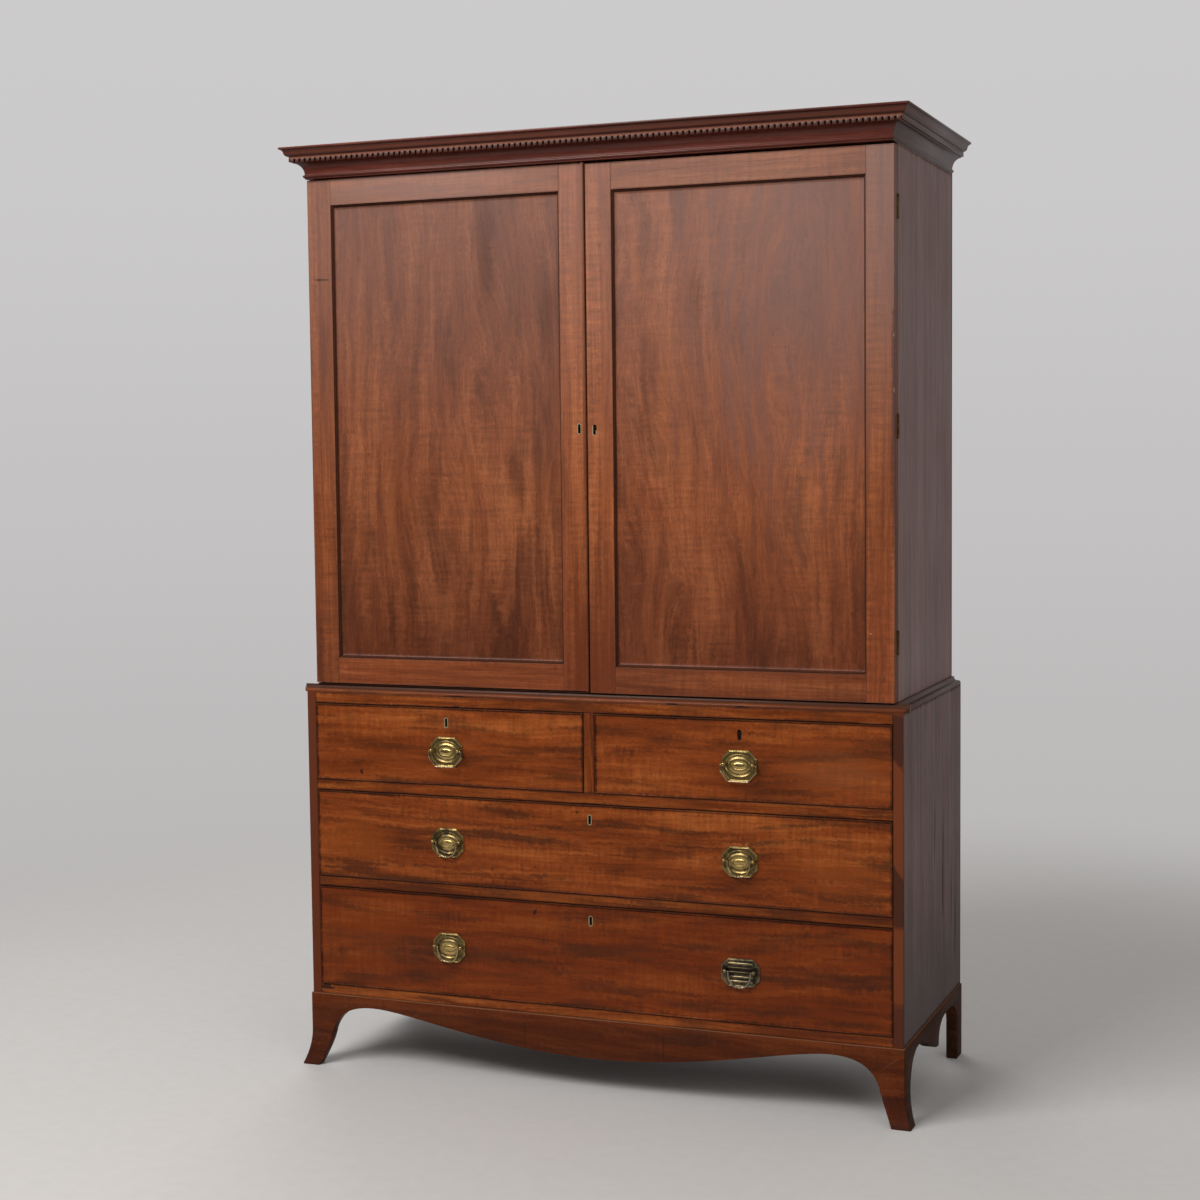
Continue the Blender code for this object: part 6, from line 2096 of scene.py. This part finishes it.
@dataclass
class DrawerChest(KeptBoards):
    """Drawer case and four drawers."""

    lock: Point = (0.056, 0.0022, 0.036)
    lock_rim: float = 0.004
    lock_rise: float = 0.0016
    lock_ease: float = 0.0004
    locks: tuple[tuple[str, float, float], ...] = (
        ("top_left_drawer", -DRAWER_X, 0.752), ("top_right_drawer", DRAWER_X, 0.752),
        ("middle_drawer", 0.0, 0.565), ("bottom_drawer", 0.0, 0.356))
    inside: float = FRONT_PLANE + 0.0200

    def build(self) -> None:
        """Dress the case and the drawers, and board the back."""
        self.sides()
        self.rails()
        self.drawers()
        self.drawer_locks()
        Boarding("lower_back_panel", 7, seed=11).build()

    def sides(self) -> None:
        """Faded sides, darker low down with soiling and painted shade, with polished front edges that have
        been pieced on the right.
        """
        edge = FRONT_PLANE
        lip = Mark((0, edge, 0.48), (ANY, 0.0040, 1.2), (0.120, 0.0240, 0.0048), 0.95, soft=0.2, square=True,
                   ragged=0.0)
        orange, brown = (0.172, 0.0400, 0.0095), (0.055, 0.0145, 0.0058)
        patches = tuple(Mark((0.640, edge, z), (0.3, 0.0045, tall), colour, 0.86, tilt=tilt, soft=0.08,
                             square=True, ragged=0.06, about=1)
                        for z, tall, tilt, colour in ((0.755, 0.10, 0, brown), (0.455, 0.125, 0, brown),
                                                      (0.603, 0.136, 50, orange), (0.315, 0.150, 0, orange),
                                                      (0.195, 0.080, 0, (0.080, 0.0190, 0.0068))))
        cracks = tuple(Mark((0.65, y, z), (ANY, wide, tall), INK, 0.85, soft=0.8, ragged=0.5, dull=True)
                       for y, z, wide, tall in ((0.109, 0.44, 0.0100, 0.26), (0.230, 0.32, 0.0110, 0.28),
                                                (0.190, 0.37, 0.0080, 0.18), (0.03, 0.52, 0.005, 0.16)))
        # painted shade with soiling: the lower sides darken towards the floor
        foot = band(0.16, 0.70, (0.026, 0.0115, 0.0085), 0.80, 0.95, 0.2)
        self.dress(SHADED_LOW_SIDE_WOOD, Board("lower_left_side", Face.SIDE, (foot, lip)),
                   Board("lower_right_side", Face.SIDE, (foot,) + cracks + (lip,) + patches, lift=1.1))

    def rails(self) -> None:
        """Rails between the drawers, the upright and the boards behind them."""
        chips = (streak(-0.29, 0.787, 0.085, 0.006, INK, 0.9, soft=0.3, ragged=0.9),
                 streak(0.19, 0.787, 0.030, 0.005, INK, 0.8, soft=0.3, ragged=0.9),
                 streak(0.59, 0.788, 0.06, 0.004, HONEY, 0.5, soft=0.4))
        middle = (streak(0.004, 0.600, 0.085, 0.007, INK, 0.9, soft=0.3, ragged=0.9),
                  streak(0.60, 0.611, 0.10, 0.03, SMOKE, 0.6, soft=0.6))
        low = (streak(0.13, 0.4015, 0.14, 0.03, SMOKE, 0.62, soft=0.6),
               streak(0.42, 0.4015, 0.13, 0.03, SMOKE, 0.55, soft=0.5),
               streak(-0.40, 0.4015, 0.20, 0.03, SMOKE, 0.5, soft=0.7))
        foot = (streak(-0.62, 0.171, 0.035, 0.014, INK, 0.8, soft=0.6, ragged=0.9),
                streak(-0.36, 0.166, 0.16, 0.02, SMOKE, 0.6, soft=0.8))
        self.dress(RAIL_WOOD, Board("lower_top_board", marks=chips), Board("upper_dustboard", marks=middle),
                   Board("lower_dustboard", marks=low, lift=0.84), Board("lower_bottom_board", marks=foot))
        self.dress(UPRIGHT_WOOD, Board("drawer_muntin"))

    def drawers(self) -> None:
        """Figured fronts over plain linings."""
        top_left = (streak(-0.337, 0.755, 0.17, 0.055, SMOKE, 0.36, ragged=0.8),
                    streak(-0.5212, 0.6412, 0.008, 0.016, INK, 0.75, tilt=-25, soft=0.5, ragged=0.7),
                    streak(-0.545, 0.715, 0.17, 0.03, SMOKE, 0.36, ragged=0.9),
                    streak(-0.10, 0.705, 0.26, 0.028, SMOKE, 0.40, ragged=0.9))
        # the first mark of the top right drawer is painted sheen with some greying of its polish: a paler,
        # greyer patch
        top_right = (streak(0.53, 0.69, 0.30, 0.13, (0.28, 0.0880, 0.0310), 0.36),
                     streak(0.60, 0.745, 0.16, 0.06, SMOKE, 0.40, ragged=0.8),
                     streak(0.20, 0.722, 0.28, 0.022, SMOKE, 0.32, ragged=0.9),
                     streak(0.342, 0.757, 0.006, 0.005, INK, 0.7, soft=0.5))
        middle = (streak(0.53, 0.49, 0.26, 0.12, (0.27, 0.0620, 0.0110), 0.55, ragged=0.6),
                  streak(-0.257, 0.437, 0.26, 0.024, SMOKE, 0.52, ragged=0.8),
                  streak(-0.50, 0.558, 0.22, 0.022, SMOKE, 0.26, ragged=0.9),
                  streak(0.15, 0.505, 0.34, 0.030, SMOKE, 0.40, ragged=0.9),
                  streak(-0.54, 0.495, 0.22, 0.10, (0.29, 0.0680, 0.0085), 0.45, ragged=0.8),
                  streak(-0.028, 0.583, 0.008, 0.007, INK, 0.7, soft=0.5, ragged=0.6))
        bottom = (streak(-0.53, 0.29, 0.26, 0.15, (0.205, 0.0370, 0.0040), 0.5, ragged=0.8),
                  streak(0.493, 0.283, 0.36, 0.070, SMOKE, 0.52, tilt=2, ragged=0.7),
                  streak(-0.124, 0.368, 0.007, 0.013, INK, 0.8, tilt=25, soft=0.5, ragged=0.7),
                  streak(0.10, 0.225, 0.40, 0.032, SMOKE, 0.40, ragged=0.9),
                  streak(-0.50, 0.345, 0.22, 0.026, SMOKE, 0.14, ragged=0.9))
        fronts = (("top_left", DRAWER_WOOD, top_left), ("top_right", DRAWER_WOOD, top_right),
                  ("middle", MIDDLE_DRAWER_WOOD, middle), ("bottom", LOW_DRAWER_WOOD, bottom))
        for name, wood, marks in fronts:
            self.dress(wood, Board(f"{name}_drawer_front", marks=marks))
            self.dress(LINING_WOOD, Board(f"{name}_drawer_box", Face.TOP))

    def drawer_locks(self) -> None:
        """Iron lock plates inside the drawer fronts."""
        for body, x, z in self.locks:
            plate = block(f"{body}_lock_plate", self.lock, (x, self.inside, z))
            with editing(plate, "FACE"):
                pick("FACE", lambda f: f.normal.y > 0.9)
                bpy.ops.mesh.inset(thickness=self.lock_rim)
                bpy.ops.mesh.extrude_region_move(TRANSFORM_OT_translate={"value": (0, self.lock_rise, 0)})
            eased(plate, self.lock_ease)
            shade(plate)
            settle(plate, body, IRON.material(x))


@dataclass(frozen=True)
class Lamp:
    """One large soft light: its place, its width and height, and its watts."""

    name: str
    at: Point
    size: Pair
    power: float


@dataclass
class Studio:
    """Pale floor, soft lights and the camera at the photograph's angle."""

    eye: Point = (1.5595, -4.0992, 1.3097)
    yaw: float = -0.3783
    pitch: float = -0.0705
    roll: float = -0.0109
    lens: float = 61.82
    floor_fade: Pair = (1.5, 3.4)
    wall_colours: tuple[Colour, Colour] = ((0.47, 0.455, 0.45), (0.61, 0.60, 0.605))  # low and high
    room_colours: tuple[Colour, Colour] = ((0.035, 0.035, 0.035), (0.40, 0.39, 0.40))  # in front and behind
    sky_colours: tuple[Colour, Colour] = ((0.12, 0.115, 0.11), (0.36, 0.355, 0.35))  # below and above
    floor_colours: tuple[Colour, Colour] = ((0.56, 0.54, 0.52), (0.62, 0.60, 0.585))
    floor_bounce: Colour = (0.22, 0.20, 0.18)  # what it throws back on the press
    aim: Point = (0.0, 0.0, 1.25)
    lamps: tuple[Lamp, ...] = (Lamp("key", (-1.7, -3.4, 3.9), (3.0, 2.0), 190.0),
                               Lamp("fill", (3.4, -3.2, 2.4), (2.4, 2.4), 38.0),
                               Lamp("rear", (-2.2, 4.0, 3.2), (3.0, 2.0), 60.0))

    def build(self) -> None:
        """Set up camera, floor, lights and world."""
        self.camera()
        self.floor()
        self.world()
        for lamp in self.lamps:
            self.softbox(lamp)
        bpy.context.scene.view_settings.view_transform = "Standard"

    def camera(self) -> None:
        """Camera fitted to the photograph."""
        data = bpy.data.cameras.new("camera")
        data.lens = self.lens
        data.sensor_width = 36.0
        data.dof.use_dof = False
        camera = bpy.data.objects.new("camera", data)
        ahead = Vector((math.sin(self.yaw) * math.cos(self.pitch), math.cos(self.yaw) * math.cos(self.pitch),
                        math.sin(self.pitch)))
        right = Vector((math.cos(self.yaw), -math.sin(self.yaw), 0.0))
        up = right.cross(ahead)
        level = right * math.cos(self.roll) + up * math.sin(self.roll)
        upright = up * math.cos(self.roll) - right * math.sin(self.roll)
        turn = Matrix((level, upright, -ahead)).transposed().to_4x4()
        camera.matrix_world = Matrix.Translation(self.eye) @ turn
        bpy.context.scene.collection.objects.link(camera)
        bpy.context.scene.camera = camera

    def floor(self) -> None:
        """Round pale floor that fades into the background."""
        near, far = self.floor_fade
        floor = fresh("floor", bpy.ops.mesh.primitive_circle_add, vertices=96, radius=far, fill_type="NGON")
        bench = Bench("pale_floor")
        reach = bench.vector("LENGTH", bench.place, ORIGIN)
        grain = bench.noise(bench.place, (30.0, 30.0, 30.0), 4.0)
        pale = bench.mix(grain, *self.floor_colours)
        seen = bench.rays("Camera", "Glossy", "Transmission")
        bench.set(Base_Color=bench.mix(seen, self.floor_bounce, pale), Roughness=0.75,
                  Alpha=bench.math("SUBTRACT", 1.0, bench.span(reach, near, far)))
        bench.bump(grain, 0.0004)
        floor.data.materials.append(bench.material)

    def world(self) -> None:
        """Soft grey light: a pale wall to the camera, and to polish a wall behind and a dim room ahead."""
        world = bpy.data.worlds.new("studio")
        bpy.context.scene.world = world
        bench = NodeBench(world, "Generated")
        _, deep, height = bench.axes(bench.place)
        wall = bench.mix(bench.span(height, -0.35, 0.25), *self.wall_colours)
        room = bench.mix(bench.span(deep, -0.45, 0.45), *self.room_colours)
        light = bench.mix(bench.span(height, -0.3, 0.5), *self.sky_colours)
        shown = bench.mix(bench.rays("Glossy", "Transmission"), light, room)
        shown = bench.mix(bench.rays("Camera"), shown, wall)
        background = bench.tree.nodes.new("ShaderNodeBackground")
        bench.feed(background.inputs["Color"], shown)
        output = bench.tree.nodes.new("ShaderNodeOutputWorld")
        bench.feed(output.inputs["Surface"], background.outputs[0])

    def softbox(self, lamp: Lamp) -> None:
        """Hang a light that faces the middle of the press.

        Args:
            lamp: the light
        """
        data = bpy.data.lights.new(lamp.name, "AREA")
        data.shape = "RECTANGLE"
        data.size, data.size_y = lamp.size
        data.energy = lamp.power
        light = bpy.data.objects.new(lamp.name, data)
        light.location = lamp.at
        aim = Vector(self.aim) - Vector(lamp.at)
        light.rotation_euler = aim.to_track_quat("-Z", "Y").to_euler()
        bpy.context.scene.collection.objects.link(light)


def main() -> None:
    """Build every sub-assembly in order."""
    logging.basicConfig(level=logging.INFO, format="%(name)s: %(message)s")
    for part in (Studio(), Cornice(), Cupboard(), Doors(), Waist(), DrawerChest(), Handles(), Escutcheons(),
                 Base()):
        LOG.info("building %s", type(part).__name__)
        part.build()


if __name__ == "__main__":
    main()
